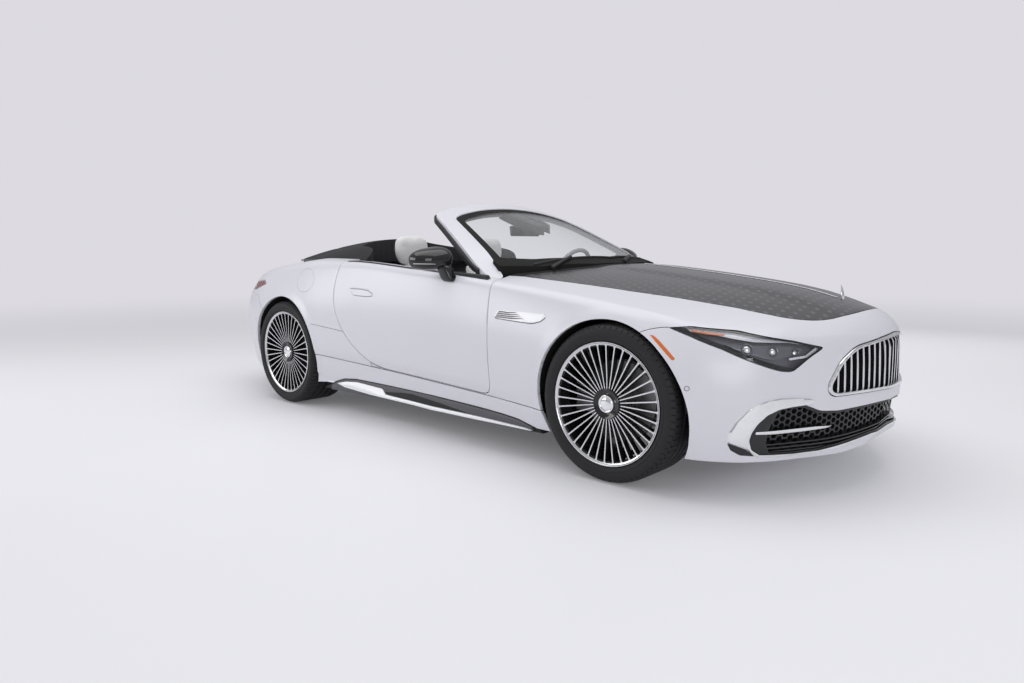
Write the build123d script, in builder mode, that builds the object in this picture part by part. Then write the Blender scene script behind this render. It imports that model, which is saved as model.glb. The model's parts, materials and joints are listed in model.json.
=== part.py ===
from build123d import *
from math import cos, radians, sin
import os

os.makedirs("parts", exist_ok=True)

# Driving dimensions, millimetres. +X is forward, +Y is left, +Z is up from the ground.
half_length = 2350
front_axle_x = 1405
rear_axle_x = -1295
front_tyre_radius = 363
rear_tyre_radius = 358
front_tyre_width = 270
rear_tyre_width = 300
wheel_face_y = 935
arch_radius = 390
tub_thickness = 10
skin_thickness = 24
lamp_depth = 60
panel_gap = 6
far = 1200
plate_hole_pitch = 178
plate_hole_radius = 3.5
plate_hole_depth = 20
plate_z = 520

# The outer skin: one row for each cross-section, from the nose to the tail.
section_columns = (
    "x", "base_z", "base_y", "widest_y", "widest_z", "shoulder_y", "shoulder_z", "crown_z", "round"
)
sections = (
    (2350, 330, 60, 90, 480, 70, 620, 650, 12),
    (2300, 200, 215, 262, 460, 225, 672, 728, 40),
    (2237, 180, 385, 430, 450, 385, 680, 775, 70),
    (2150, 177, 545, 605, 440, 545, 680, 800, 80),
    (2050, 176, 710, 775, 440, 690, 690, 826, 90),
    (1940, 175, 815, 875, 450, 790, 705, 852, 90),
    (1800, 175, 880, 935, 460, 860, 730, 878, 90),
    (1620, 175, 905, 957, 480, 880, 770, 903, 90),
    (1400, 175, 915, 958, 520, 885, 805, 930, 85),
    (1050, 175, 895, 945, 540, 880, 850, 965, 75),
    (650, 178, 880, 930, 560, 875, 890, 990, 60),
    (0, 180, 870, 925, 560, 880, 945, 1005, 50),
    (-620, 182, 885, 942, 570, 880, 985, 1040, 60),
    (-1000, 185, 905, 957, 580, 875, 985, 1055, 80),
    (-1295, 188, 910, 958, 580, 850, 965, 1045, 100),
    (-1600, 195, 890, 945, 590, 800, 940, 1000, 120),
    (-1900, 210, 810, 870, 600, 715, 905, 950, 110),
    (-2150, 240, 660, 705, 600, 600, 862, 922, 90),
    (-2250, 268, 570, 620, 590, 512, 842, 905, 60),
    (-2300, 290, 510, 562, 565, 455, 792, 865, 45),
    (-2332, 320, 440, 492, 540, 400, 705, 755, 35),
    (-2350, 365, 340, 392, 520, 330, 640, 670, 25),
)


def cross_section(row, inset):
    """One closed section of the body, drawn in by inset on every side."""
    place = dict(zip(section_columns, row))
    base_z = place["base_z"] + inset
    base_y = place["base_y"] - inset
    widest_y = place["widest_y"] - inset
    widest_z = place["widest_z"]
    shoulder_y = place["shoulder_y"] - inset
    shoulder_z = place["shoulder_z"] - inset
    crown_z = place["crown_z"] - inset
    with BuildSketch(Plane.YZ.offset(place["x"])) as section:
        with BuildLine():
            Line((-base_y, base_z), (base_y, base_z))
            TangentArc((widest_y, widest_z), (base_y, base_z), tangent=(0, -1))
            TangentArc((widest_y, widest_z), (shoulder_y, shoulder_z), tangent=(0, 1))
            ThreePointArc((shoulder_y, shoulder_z), (0, crown_z), (-shoulder_y, shoulder_z))
            TangentArc((-widest_y, widest_z), (-shoulder_y, shoulder_z), tangent=(0, 1))
            TangentArc((-widest_y, widest_z), (-base_y, base_z), tangent=(0, -1))
        make_face()
        corners = section.vertices().filter_by(lambda v: abs(v.Y - shoulder_z) < 0.01)
        fillet(corners, max(place["round"] - inset / 2, 8))
    return section.sketch.face()


def body_solid(inset):
    rows = [row for row in sections if abs(row[0]) <= half_length - inset * 0.9]
    with BuildPart() as solid:
        loft(sections=[cross_section(row, inset) for row in rows], ruled=True)
    return solid.part


def side_prism(outline, y_from, y_to, grow=0):
    """An outline of (x, z) points, as a solid between two y values."""
    with BuildPart() as prism:
        with BuildSketch(Plane.XZ.offset(-y_to)):
            with BuildLine():
                Polyline(*outline, close=True)
            make_face()
            if grow:
                offset(amount=grow, kind=Kind.INTERSECTION)
        extrude(amount=y_to - y_from)
    return prism.part


def plan_prism(outline, z_from, z_to, grow=0):
    """An outline of (x, y) points, as a solid between two heights."""
    with BuildPart() as prism:
        with BuildSketch(Plane.XY.offset(z_from)):
            with BuildLine():
                Polyline(*outline, close=True)
            make_face()
            if grow:
                offset(amount=grow, kind=Kind.INTERSECTION)
        extrude(amount=z_to - z_from)
    return prism.part


def front_prism(outline, x_from, x_to, grow=0):
    """An outline of (y, z) points, as a solid between two x values."""
    with BuildPart() as prism:
        with BuildSketch(Plane.YZ.offset(x_from)):
            with BuildLine():
                Polyline(*outline, close=True)
            make_face()
            if grow:
                offset(amount=grow, kind=Kind.INTERSECTION)
        extrude(amount=x_to - x_from)
    return prism.part


def block(x_range, y_range, z_range):
    with BuildPart() as solid:
        centre = [(low + high) / 2 for low, high in (x_range, y_range, z_range)]
        with Locations(tuple(centre)):
            Box(*[high - low for low, high in (x_range, y_range, z_range)])
    return solid.part


def both_sides(half_outline):
    """A symmetric (y, z) outline from the half that has y over or at 0."""
    return [(-y, z) for y, z in half_outline] + [(y, z) for y, z in reversed(half_outline) if y]


def both_sides_plan(half_outline):
    """A symmetric (x, y) outline from the half that has y over or at 0."""
    return [(x, -y) for x, y in half_outline] + [(x, y) for x, y in reversed(half_outline) if y]


def save(part, name):
    part.label = name
    export_step(part, f"parts/{name}.step")


def save_pair(part, name):
    """Save a right-hand piece and its mirror image on the left."""
    save(part, f"{name}_right")
    with BuildPart() as twin:
        add(part)
        mirror(about=Plane.XZ, mode=Mode.REPLACE)
    save(twin.part, f"{name}_left")


# Shut lines and openings of the skin.
bonnet_half = ((2228, 0), (2190, 170), (2099, 400), (1941, 550), (1700, 630), (1420, 680), (1050, 705),
               (700, 722), (785, 600), (880, 450), (960, 250), (990, 0))
boot_half = ((-1432, 560), (-1480, 600), (-1900, 540), (-2200, 450), (-2400, 430))
boot_bottom_z = 705
door_outline = ((676, 302), (668, 600), (640, 1060), (-648, 1060), (-690, 900), (-702, 800), (-680, 680),
                (-600, 560), (-480, 450), (-340, 375), (-235, 349))
door_inner_y = 825
sill_outline = ((-1200, 100), (-1200, 390), (-910, 378), (-235, 343), (673, 296), (1200, 268), (1200, 100))
sill_inner_y = 740
nose_outline = ((1500, 100), (1600, 690), (1696, 728), (1850, 900), (1850, 1200), (2500, 1200), (2500, 100))
tail_outline = ((-1500, 100), (-1560, 640), (-1700, 745), (-2500, 700), (-2500, 100))
headlamp_outline = ((1697, 727), (1780, 735), (1939, 720), (2110, 678), (2196, 645), (2163, 605), (2126, 551),
                    (2099, 554), (2021, 593), (1917, 644), (1797, 690))
tail_lamp_outline = ((-1600, 823), (-1668, 850), (-2500, 815), (-2500, 730), (-1785, 775))
tail_lamp_inner_y = 470
grille_half = ((0, 684), (172, 667), (325, 643), (416, 586), (479, 492), (478, 453), (448, 432))
intake_half = ((0, 388), (300, 378), (420, 373), (505, 380), (585, 414), (643, 412), (700, 406), (751, 385),
               (782, 348), (796, 309), (797, 275), (780, 234), (736, 205), (603, 198), (487, 200), (358, 217),
               (195, 239), (0, 246))
frame_half = ((905, 0), (850, 260), (705, 560), (560, 740), (500, 806), (440, 800), (-40, 640), (-62, 560),
              (-92, 300), (-100, 0))
cabin_half = ((640, 800), (-560, 800), (-620, 740), (-1426, 700))

outer = body_solid(0)
inner = body_solid(skin_thickness)
lamp_back = body_solid(lamp_depth)

with BuildPart() as skin_shell:
    add(outer)
    add(inner, mode=Mode.SUBTRACT)
skin = skin_shell.part

with BuildPart() as arch_cuts:
    for axle_x, tyre_radius in ((front_axle_x, front_tyre_radius), (rear_axle_x, rear_tyre_radius)):
        with Locations((axle_x, 0, tyre_radius)):
            Cylinder(arch_radius, 2 * far, rotation=(90, 0, 0))
arches = arch_cuts.part

bonnet_outline = both_sides_plan(bonnet_half)
boot_outline = both_sides_plan(boot_half)
grille_outline = both_sides(grille_half)
intake_outline = both_sides(intake_half)
cabin_outline = both_sides_plan(cabin_half)
frame_outline = both_sides_plan(frame_half)

bonnet_clear = plan_prism(bonnet_outline, 600, far, grow=panel_gap)
boot_clear = plan_prism(boot_outline, boot_bottom_z - panel_gap, far, grow=panel_gap)
headlamp_clear = side_prism(headlamp_outline, -far, -300, grow=3)
tail_lamp_clear = side_prism(tail_lamp_outline, -far, -tail_lamp_inner_y, grow=3)
grille_clear = front_prism(grille_outline, 1900, 2500, grow=2)
intake_clear = front_prism(intake_outline, 1700, 2500)
nose_clear = side_prism(nose_outline, -far, far, grow=4)
tail_clear = side_prism(tail_outline, -far, far, grow=4)
door_clear = side_prism(door_outline, -far, far, grow=panel_gap)
sill_clear = side_prism(sill_outline, -far, far, grow=4)
cabin_clear = plan_prism(cabin_outline, 600, far)
frame_clear = plan_prism(frame_outline, 800, far)


def skin_panel(source, keep, remove):
    with BuildPart() as piece:
        add(source)
        for tool in keep:
            add(tool, mode=Mode.INTERSECT)
        for tool in remove:
            add(tool, mode=Mode.SUBTRACT)
    return piece.part


def mirrored(part):
    with BuildPart() as twin:
        add(part)
        mirror(about=Plane.XZ, mode=Mode.REPLACE)
    return twin.part


def exhaust_tips(grow):
    with BuildPart() as tips:
        for tip_y in (-560, -440, 440, 560):
            with Locations((-2205, tip_y, 320)):
                Box(170 + 2 * grow, 90 + 2 * grow, 60 + 2 * grow)
    return tips.part


# Bumpers, with the openings for the grilles and lamps.
front_bumper = skin_panel(
    skin,
    [side_prism(nose_outline, -far, far)],
    [bonnet_clear, arches, grille_clear, intake_clear, headlamp_clear, mirrored(headlamp_clear)],
)
save(front_bumper, "front_bumper")

rear_bumper = skin_panel(
    skin,
    [side_prism(tail_outline, -far, far)],
    [boot_clear, arches, tail_lamp_clear, mirrored(tail_lamp_clear), exhaust_tips(3)],
)
with BuildPart() as plate_holes:
    with Locations((-half_length, -plate_hole_pitch / 2, plate_z), (-half_length, plate_hole_pitch / 2, plate_z)):
        Cylinder(plate_hole_radius, 2 * plate_hole_depth, rotation=(0, 90, 0))
rear_bumper = skin_panel(rear_bumper, [], [plate_holes.part])
save(rear_bumper, "rear_bumper")

# Side panels.
fender_span = block((-300, 1860), (-far, -560), (260, 1200))
fender = skin_panel(
    skin,
    [fender_span],
    [nose_clear, bonnet_clear, arches, door_clear, sill_clear, headlamp_clear, cabin_clear, frame_clear],
)
fender = fender.solids().sort_by(SortBy.VOLUME)[-1]
save_pair(fender, "fender")

quarter_span = block((-half_length, -200), (-far, -380), (300, 1200))
quarter = skin_panel(
    skin, [quarter_span], [tail_clear, boot_clear, arches, door_clear, sill_clear, tail_lamp_clear, cabin_clear]
)
quarter = quarter.solids().sort_by(SortBy.VOLUME)[-1]
save_pair(quarter, "quarter")

sill = skin_panel(outer, [side_prism(sill_outline, -far, -sill_inner_y)], [arches])
save_pair(sill, "sill")

door = skin_panel(outer, [side_prism(door_outline, -far, -door_inner_y)], [])
save_pair(door, "door")

# Bonnet and boot lid.
bonnet = skin_panel(skin, [plan_prism(bonnet_outline, 600, far)], [])
bonnet = bonnet.solids().sort_by(SortBy.VOLUME)[-1]
save(bonnet, "bonnet")

boot_lid = skin_panel(skin, [plan_prism(boot_outline, boot_bottom_z, far)], [])
boot_lid = boot_lid.solids().sort_by(SortBy.VOLUME)[-1]
save(boot_lid, "boot_lid")

# Lamps.
headlamp = skin_panel(outer, [side_prism(headlamp_outline, -far, -300)], [lamp_back])
headlamp = headlamp.solids().sort_by(SortBy.VOLUME)[-1]
save_pair(headlamp, "headlamp")

tail_lamp = skin_panel(outer, [side_prism(tail_lamp_outline, -far, -tail_lamp_inner_y)], [lamp_back])
tail_lamp = tail_lamp.solids().sort_by(SortBy.VOLUME)[-1]
save_pair(tail_lamp, "tail_lamp")

# Grilles: a frame with upright blades above, a plate across the intake below.
blade_pitch = 38
blade_width = 9
blade_count = 23
frame_band = 14
with BuildPart() as grille_tool:
    with BuildSketch(Plane.YZ.offset(1900)):
        with BuildLine():
            Polyline(*grille_outline, close=True)
        make_face()
        offset(amount=-frame_band, mode=Mode.SUBTRACT)
        with GridLocations(blade_pitch, 1, blade_count, 1):
            with Locations((0, 540)):
                Rectangle(blade_width, 300)
    extrude(amount=600)
grille_band = skin_panel(outer, [], [inner])
upper_grille = skin_panel(grille_band, [grille_tool.part, front_prism(grille_outline, 1900, 2500)], [])
save(upper_grille, "upper_grille")

lower_grille = skin_panel(skin, [front_prism(intake_outline, 1700, 2500)], [])
lower_grille = lower_grille.solids().sort_by(SortBy.VOLUME)[-1]
save(lower_grille, "lower_grille")

# Floor, front structure with wheel tubs, rear structure with boot floor.
floor_bottom_z = 186
floor_top_z = 206
floor_x = (-880, 980)
floor_half_y = sill_inner_y
tunnel_x = (-640, 600)
jack_pad_x = (-720, 750)
jack_pad_y = 705
jack_pad_bottom_z = 176
tunnel_top_z = 330
with BuildPart() as floor_pan:
    add(block(floor_x, (-floor_half_y, floor_half_y), (floor_bottom_z, floor_top_z)))
    add(block(tunnel_x, (-130, 130), (floor_bottom_z, tunnel_top_z)))
    add(block(tunnel_x, (-110, 110), (floor_bottom_z, tunnel_top_z - 20)), mode=Mode.SUBTRACT)
    for pad_x in jack_pad_x:
        for pad_y in (-jack_pad_y, jack_pad_y):
            with Locations((pad_x, pad_y, (jack_pad_bottom_z + floor_bottom_z) / 2)):
                Box(70, 50, floor_bottom_z - jack_pad_bottom_z)
save(floor_pan.part, "floor_pan")


def wheel_tub(axle_x, axle_z, inner_y, outer_y, low_z):
    """An arched shell over a wheel with a wall on its inner side."""
    radius = arch_radius + 6
    with BuildPart() as tub:
        with BuildSketch(Plane.XZ.offset(inner_y)):
            with Locations((axle_x, axle_z)):
                Circle(radius + tub_thickness)
        extrude(amount=outer_y - inner_y)
        with BuildSketch(Plane.XZ.offset(inner_y + tub_thickness)):
            with Locations((axle_x, axle_z)):
                Circle(radius)
        extrude(amount=outer_y - inner_y, mode=Mode.SUBTRACT)
        add(block((axle_x - far, axle_x + far), (-far, far), (-far, low_z)), mode=Mode.SUBTRACT)
    return tub.part


front_tub_inner_y = 450
rear_tub_inner_y = 590
tub_outer_y = 850
wall_half_y = 738
front_tub_low_z = 286
rear_tub_low_z = 386
firewall_x = (600, 620)
rail_y = (330, 440)
rail_z = (400, 480)
front_tub = wheel_tub(front_axle_x, front_tyre_radius, front_tub_inner_y, tub_outer_y, front_tub_low_z)
with BuildPart() as front_structure:
    add(block(firewall_x, (-wall_half_y, wall_half_y), (floor_top_z, 860)))
    add(block((1960, 1990), (-440, 440), (300, 700)))
    for sign in (-1, 1):
        add(block((firewall_x[1], 1990), sorted((sign * rail_y[0], sign * (rail_y[1] + 15))), rail_z))
        add(block((firewall_x[1], 1020), sorted((sign * 450, sign * wall_half_y)), (300, 320)))
    add(front_tub)
    add(mirrored(front_tub))
save(front_structure.part, "front_structure")

rear_tub = wheel_tub(rear_axle_x, rear_tyre_radius, rear_tub_inner_y, tub_outer_y, rear_tub_low_z)
boot_floor_z = (400, 420)
bulkhead_x = (-900, -880)
with BuildPart() as rear_structure:
    add(block(bulkhead_x, (-wall_half_y, wall_half_y), (floor_bottom_z, 900)))
    add(block((-2040, bulkhead_x[0]), (-rear_tub_inner_y, rear_tub_inner_y), boot_floor_z))
    add(block((-1460, -1440), (-rear_tub_inner_y, rear_tub_inner_y), (boot_floor_z[1], 900)))
    add(rear_tub)
    add(mirrored(rear_tub))
save(rear_structure.part, "rear_structure")


# Windscreen: an arched slab leaning back, flatter towards its top, cut to a frame and a pane.
screen_base_x = 860
screen_base_z = 985
screen_slope = 0.39
screen_half_y = 850
screen_stations = ((1000, 0.31 / 1000), (-200, 0.16 / 1000))
pane_half = ((872, 0), (815, 260), (672, 560), (560, 690), (520, 716), (60, 575), (30, 500), (12, 300), (8, 0))


def screen_slab(top_offset, bottom_offset):
    """The leaning arched sheet between two heights above the windscreen's surface."""
    with BuildPart() as slab:
        for station_x, sag in screen_stations:
            middle_z = screen_base_z + screen_slope * (screen_base_x - station_x)
            top_z = middle_z + top_offset
            bottom_z = middle_z + bottom_offset
            drop = sag * screen_half_y**2
            with BuildSketch(Plane.YZ.offset(station_x)):
                with BuildLine():
                    ThreePointArc((-screen_half_y, top_z - drop), (0, top_z), (screen_half_y, top_z - drop))
                    Line((screen_half_y, top_z - drop), (screen_half_y, bottom_z - drop))
                    ThreePointArc(
                        (screen_half_y, bottom_z - drop), (0, bottom_z), (-screen_half_y, bottom_z - drop)
                    )
                    Line((-screen_half_y, bottom_z - drop), (-screen_half_y, top_z - drop))
                make_face()
        loft(ruled=True)
    return slab.part


pane_outline = both_sides_plan(pane_half)
windshield_frame = skin_panel(
    screen_slab(14, -30), [plan_prism(frame_outline, 800, 1500)], [plan_prism(pane_outline, 800, 1500)]
)
save(windshield_frame, "windshield_frame")
windshield = skin_panel(screen_slab(2, -5), [plan_prism(pane_outline, 800, 1500)], [])
save(windshield, "windshield")

# Cowl between bonnet and windscreen.
cowl_half = ((972, 0), (942, 250), (862, 445), (768, 590), (695, 690), (640, 690), (625, 600), (625, 0))
cowl = skin_panel(body_solid(45), [plan_prism(both_sides_plan(cowl_half), 880, 1000)], [body_solid(62)])
cowl = cowl.solids().sort_by(SortBy.VOLUME)[-1]
save(cowl, "cowl")

# Cabin.
with BuildPart() as dashboard:
    with BuildSketch(Plane.XZ.offset(-760)):
        with BuildLine():
            Polyline((330, 720), (345, 870), (420, 915), (596, 925), (596, 600), (450, 600), close=True)
        make_face()
    extrude(amount=1520)
save(dashboard.part, "dashboard")

with BuildPart() as console:
    add(block((-560, 446), (-115, 115), (tunnel_top_z, 590)))
    add(block((-560, -250), (-115, 115), (590, 640)))
    fillet(console.edges().filter_by(Axis.X).group_by(Axis.Z)[-1], 20)
save(console.part, "console")

seat_y = 370
seat_half_width = 245
with BuildPart() as seat:
    with BuildSketch(Plane.XZ.offset(seat_y - seat_half_width)):
        with BuildLine():
            Polyline((200, 330), (215, 470), (180, 505), (-300, 470), (-470, 950), (-600, 960), (-480, 330),
                     close=True)
        make_face()
    extrude(amount=2 * seat_half_width)
    fillet(seat.edges().filter_by(Axis.Y).group_by(Axis.Z)[-1], 30)
    with Locations((-575, -seat_y, 1060)):
        Box(110, 270, 190)
    fillet(seat.edges().filter_by(Axis.Y).group_by(Axis.Z)[-1], 40)
    with Locations((-560, -seat_y, 960)):
        Box(40, 120, 60)
    with Locations((-140, -seat_y, 268)):
        Box(520, 380, 124)
save_pair(seat.part, "seat")

with BuildPart() as rear_bench:
    with BuildSketch(Plane.XZ.offset(-560)):
        with BuildLine():
            Polyline((-640, 420), (-640, 560), (-830, 540), (-850, 900), (-874, 900), (-874, 420), close=True)
        make_face()
    extrude(amount=1120)
    add(block((-874, -820), (-560, 560), (206, 420)))
save(rear_bench.part, "rear_bench")

# Stowed soft roof: a sloping cover with arms beside the cabin.
cover_half = ((-1150, 0), (-1140, 300), (-1080, 520), (-900, 640), (-600, 728), (-620, 736), (-1424, 696))
cover_side = ((-1424, 1000), (-1424, 1040), (-1330, 1112), (-1230, 1152), (-1150, 1158), (-1090, 1140),
              (-900, 1056), (-600, 1000), (-600, 975), (-900, 985))
cover_front = ((0, 1158), (200, 1150), (380, 1118), (520, 1080), (640, 1036), (740, 990), (740, 900), (0, 900))
cover_across = front_prism(both_sides(cover_front), -1500, -500)
roof_cover = skin_panel(
    plan_prism(both_sides_plan(cover_half), 900, 1300), [side_prism(cover_side, -far, far), cover_across], []
)
save(roof_cover, "roof_cover")

# Running gear and engine.
with BuildPart() as engine:
    add(block((760, 1500), (-270, 270), (306, 780)))
save(engine.part, "engine")

knuckle_gap = 6
arm_end_y = 730


def axle_frame(axle_x, axle_z, half_y, x_reach):
    """A cross member with a lower arm out to each wheel carrier."""
    arm_z = (axle_z - 165, axle_z - 130)
    with BuildPart() as frame:
        add(block((axle_x - x_reach, axle_x + x_reach), (-half_y, half_y), (190, 300)))
        for sign in (-1, 1):
            add(block((axle_x - 28, axle_x + 28), sorted((sign * half_y, sign * arm_end_y)), arm_z))
    return frame.part


front_subframe = axle_frame(front_axle_x, front_tyre_radius, 430, 130)
save(front_subframe, "front_subframe")
with BuildPart() as rear_subframe:
    add(axle_frame(rear_axle_x, rear_tyre_radius, 560, 130))
    add(block((-1350, -1240), (-110, 110), (300, 396)))
save(rear_subframe.part, "rear_subframe")


def wheel_carrier(axle_x, axle_z, low_z):
    """An upright with a hub boss and a caliper clear of the disc, on the right-hand side."""
    with BuildPart() as carrier:
        add(block((axle_x - 40, axle_x + 40), (-762, -715), (low_z, axle_z + 150)))
        add(block((axle_x - 225, axle_x - 40), (-762, -735), (axle_z - 60, axle_z + 60)))
        add(block((axle_x - 232, axle_x - 204), (-830, -762), (axle_z - 70, axle_z + 70)))
        add(block((axle_x - 232, axle_x - 130), (-832, -810), (axle_z - 70, axle_z + 70)))
    return carrier.part


knuckle = wheel_carrier(front_axle_x, front_tyre_radius, front_tyre_radius - 130 + knuckle_gap)
save_pair(knuckle, "knuckle")
rear_carrier = wheel_carrier(rear_axle_x, rear_tyre_radius, rear_tyre_radius - 130)
save_pair(rear_carrier, "rear_carrier")

spoke_count = 36
rim_radius = 283
barrel_radius = 262
hub_radius = 70
spoke_start = 64
spoke_end = 257


def road_wheel(axle_x, axle_z, tyre_width):
    """A multi-spoke wheel with its brake disc, turned about Y, on the right-hand side."""
    axis_plane = Plane((axle_x, 0, axle_z), x_dir=(1, 0, 0), z_dir=(0, 0, 1))
    back_y = wheel_face_y - tyre_width + 20
    with BuildPart(axis_plane) as wheel:
        with BuildSketch(axis_plane):
            with BuildLine():
                Polyline(
                    (rim_radius, -wheel_face_y), (rim_radius, -wheel_face_y + 8),
                    (barrel_radius, -wheel_face_y + 22), (barrel_radius, -back_y - 14),
                    (rim_radius, -back_y), (barrel_radius - 10, -back_y), (barrel_radius - 10, -wheel_face_y + 30),
                    (rim_radius - 14, -wheel_face_y), close=True)
            make_face()
        revolve(axis=Axis((axle_x, 0, axle_z), (0, 1, 0)))
        with BuildSketch(Plane.XZ.offset(wheel_face_y - 34)):
            with Locations((axle_x, axle_z)):
                with PolarLocations((spoke_start + spoke_end) / 2, spoke_count):
                    Rectangle(spoke_end - spoke_start, 9)
        extrude(amount=24)
        with BuildSketch(Plane.XZ.offset(800)):
            with Locations((axle_x, axle_z)):
                Circle(hub_radius)
        extrude(amount=wheel_face_y - 830)
        with BuildSketch(Plane.XZ.offset(770)):
            with Locations((axle_x, axle_z)):
                Circle(190)
                Circle(60, mode=Mode.SUBTRACT)
        extrude(amount=32)
    return wheel.part


def tyre_ring(axle_x, axle_z, radius, width):
    axis_plane = Plane((axle_x, 0, axle_z), x_dir=(1, 0, 0), z_dir=(0, 0, 1))
    outer_y = wheel_face_y - 9
    inner_y = wheel_face_y - width + 6
    back_y = wheel_face_y - width + 20
    bead = barrel_radius + 1
    flank = (rim_radius + radius) / 2
    with BuildPart() as tyre:
        with BuildSketch(axis_plane):
            with BuildLine():
                Polyline(
                    (bead, -outer_y + 15), (rim_radius + 1, -outer_y + 1), (flank, -wheel_face_y - 10),
                    (radius - 16, -wheel_face_y), (radius - 2, -wheel_face_y + 22), (radius, -wheel_face_y + 60),
                    (radius, -inner_y - 54), (radius - 2, -inner_y - 16), (radius - 16, -inner_y + 6),
                    (flank, -inner_y + 16), (rim_radius + 1, -back_y - 1), (bead, -back_y - 15), close=True)
            make_face()
        revolve(axis=Axis((axle_x, 0, axle_z), (0, 1, 0)))
    return tyre.part


for place, axle_x, radius, width in (
    ("front", front_axle_x, front_tyre_radius, front_tyre_width),
    ("rear", rear_axle_x, rear_tyre_radius, rear_tyre_width),
):
    save_pair(road_wheel(axle_x, radius, width), f"wheel_{place}")
    save_pair(tyre_ring(axle_x, radius, radius, width), f"tyre_{place}")

# Exhaust box behind the rear axle, with two outlets on each side.
with BuildPart() as exhaust:
    add(block((-2120, -1800), (-520, 520), (280, 385)))
    add(exhaust_tips(0))
save(exhaust.part, "exhaust")

# Mirrors, steering wheel and bonnet ornament.
with BuildPart() as mirror_piece:
    with Locations((270, -962, 1005)):
        Box(140, 190, 122)
    fillet(mirror_piece.edges(), 30)
    add(block((290, 340), (-900, -850), (950, 960)))
    add(block((290, 340), (-890, -855), (955, 990)))
mirror_right = skin_panel(mirror_piece.part, [], [outer])
mirror_right = mirror_right.solids().sort_by(SortBy.VOLUME)[-1]
save_pair(mirror_right, "mirror")

steering_tilt = 25
steering_centre = (210, seat_y, 900)
steering_axis = (-cos(radians(steering_tilt)), 0, sin(radians(steering_tilt)))
steering_plane = Plane(steering_centre, x_dir=(0, 1, 0), z_dir=steering_axis)
with BuildPart() as steering_wheel:
    with BuildSketch(steering_plane):
        Circle(188)
        Circle(160, mode=Mode.SUBTRACT)
        Circle(62)
        Rectangle(340, 34)
        with Locations((0, -90)):
            Rectangle(34, 160)
    extrude(amount=13, both=True)
    with BuildSketch(steering_plane):
        Circle(30)
    extrude(amount=-90)
save(steering_wheel.part, "steering_wheel")

ornament_x = 2102
with BuildPart() as ornament:
    add(block((ornament_x - 22, ornament_x + 22), (-14, 14), (790, 812)))
    add(block((ornament_x - 8, ornament_x + 8), (-12, 12), (812, 884)))
    fillet(ornament.edges().filter_by(Axis.X).group_by(Axis.Z)[-1], 11)
ornament_piece = skin_panel(ornament.part, [], [outer])
save(ornament_piece.solids().sort_by(SortBy.VOLUME)[-1], "ornament")
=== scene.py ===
import json
import math

import bmesh
import bpy
import numpy as np
from mathutils import Euler, Matrix, Vector
from mathutils.bvhtree import BVHTree

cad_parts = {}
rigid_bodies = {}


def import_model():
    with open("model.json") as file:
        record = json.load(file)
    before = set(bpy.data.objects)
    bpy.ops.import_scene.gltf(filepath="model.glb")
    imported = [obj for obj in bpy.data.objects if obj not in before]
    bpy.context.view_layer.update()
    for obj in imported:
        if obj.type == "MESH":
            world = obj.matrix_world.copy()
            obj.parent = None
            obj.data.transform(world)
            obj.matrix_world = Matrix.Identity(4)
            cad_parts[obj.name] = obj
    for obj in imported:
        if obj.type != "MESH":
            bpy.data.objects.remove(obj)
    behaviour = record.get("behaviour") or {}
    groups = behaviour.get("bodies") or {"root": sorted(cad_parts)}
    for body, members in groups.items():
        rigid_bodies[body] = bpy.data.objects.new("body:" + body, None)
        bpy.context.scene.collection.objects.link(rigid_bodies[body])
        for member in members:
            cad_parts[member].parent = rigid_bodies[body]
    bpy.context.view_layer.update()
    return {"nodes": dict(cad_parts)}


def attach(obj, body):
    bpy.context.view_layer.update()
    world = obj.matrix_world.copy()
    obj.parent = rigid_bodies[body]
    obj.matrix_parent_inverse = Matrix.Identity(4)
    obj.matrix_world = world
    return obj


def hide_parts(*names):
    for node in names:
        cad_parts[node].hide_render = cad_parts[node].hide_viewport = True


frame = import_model()
print("frame loaded")


# Shader arithmetic: one socket, its tree, and the operators the finishes use.
class Shade:
    def __init__(self, tree, socket=None):
        self.tree = tree
        self.socket = socket

    def make(self, kind, settings=None, inputs=None, output=0):
        node = self.tree.nodes.new(kind)
        for name, value in (settings or {}).items():
            if name == "stops":
                ramp = node.color_ramp
                while len(ramp.elements) < len(value):
                    ramp.elements.new(0.5)
                for element, (place, colour) in zip(ramp.elements, value):
                    element.position = place
                    element.color = (*colour, 1) if len(colour) == 3 else colour
            else:
                setattr(node, name, value)
        for name, value in (inputs or {}).items():
            if isinstance(value, Shade):
                self.tree.links.new(value.socket, node.inputs[name])
            else:
                node.inputs[name].default_value = value
        return Shade(self.tree, node.outputs[output])

    def maths(self, operation, first, second=0.0):
        return self.make("ShaderNodeMath", {"operation": operation}, {0: first, 1: second})

    def __add__(self, other):
        return self.maths("ADD", self, other)

    __radd__ = __add__

    def __sub__(self, other):
        return self.maths("SUBTRACT", self, other)

    def __rsub__(self, other):
        return self.maths("SUBTRACT", other, self)

    def __mul__(self, other):
        return self.maths("MULTIPLY", self, other)

    __rmul__ = __mul__

    def __truediv__(self, other):
        return self.maths("DIVIDE", self, other)

    def below(self, limit):
        return self.maths("LESS_THAN", self, limit)

    def above(self, limit):
        return self.maths("GREATER_THAN", self, limit)

    def part(self, axis):
        return self.make("ShaderNodeSeparateXYZ", None, {"Vector": self}, "XYZ".index(axis))


def startFinish(name, constants):
    # a new material with its shader's fixed values set
    material = bpy.data.materials.new(name)
    material.use_nodes = True
    shader = material.node_tree.nodes["Principled BSDF"]
    for socket, value in constants.items():
        shader.inputs[socket].default_value = value
    wire = Shade(material.node_tree)
    place = wire.make("ShaderNodeTexCoord", output="Object")
    return material, shader, wire, place


def feed(wire, shader, socket, value):
    wire.tree.links.new(value.socket, shader.inputs[socket])


def noise(wire, place, scale, detail=2.0, roughness=0.5):
    return wire.make(
        "ShaderNodeTexNoise", None, {"Vector": place, "Scale": scale, "Detail": detail, "Roughness": roughness}
    )


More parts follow.
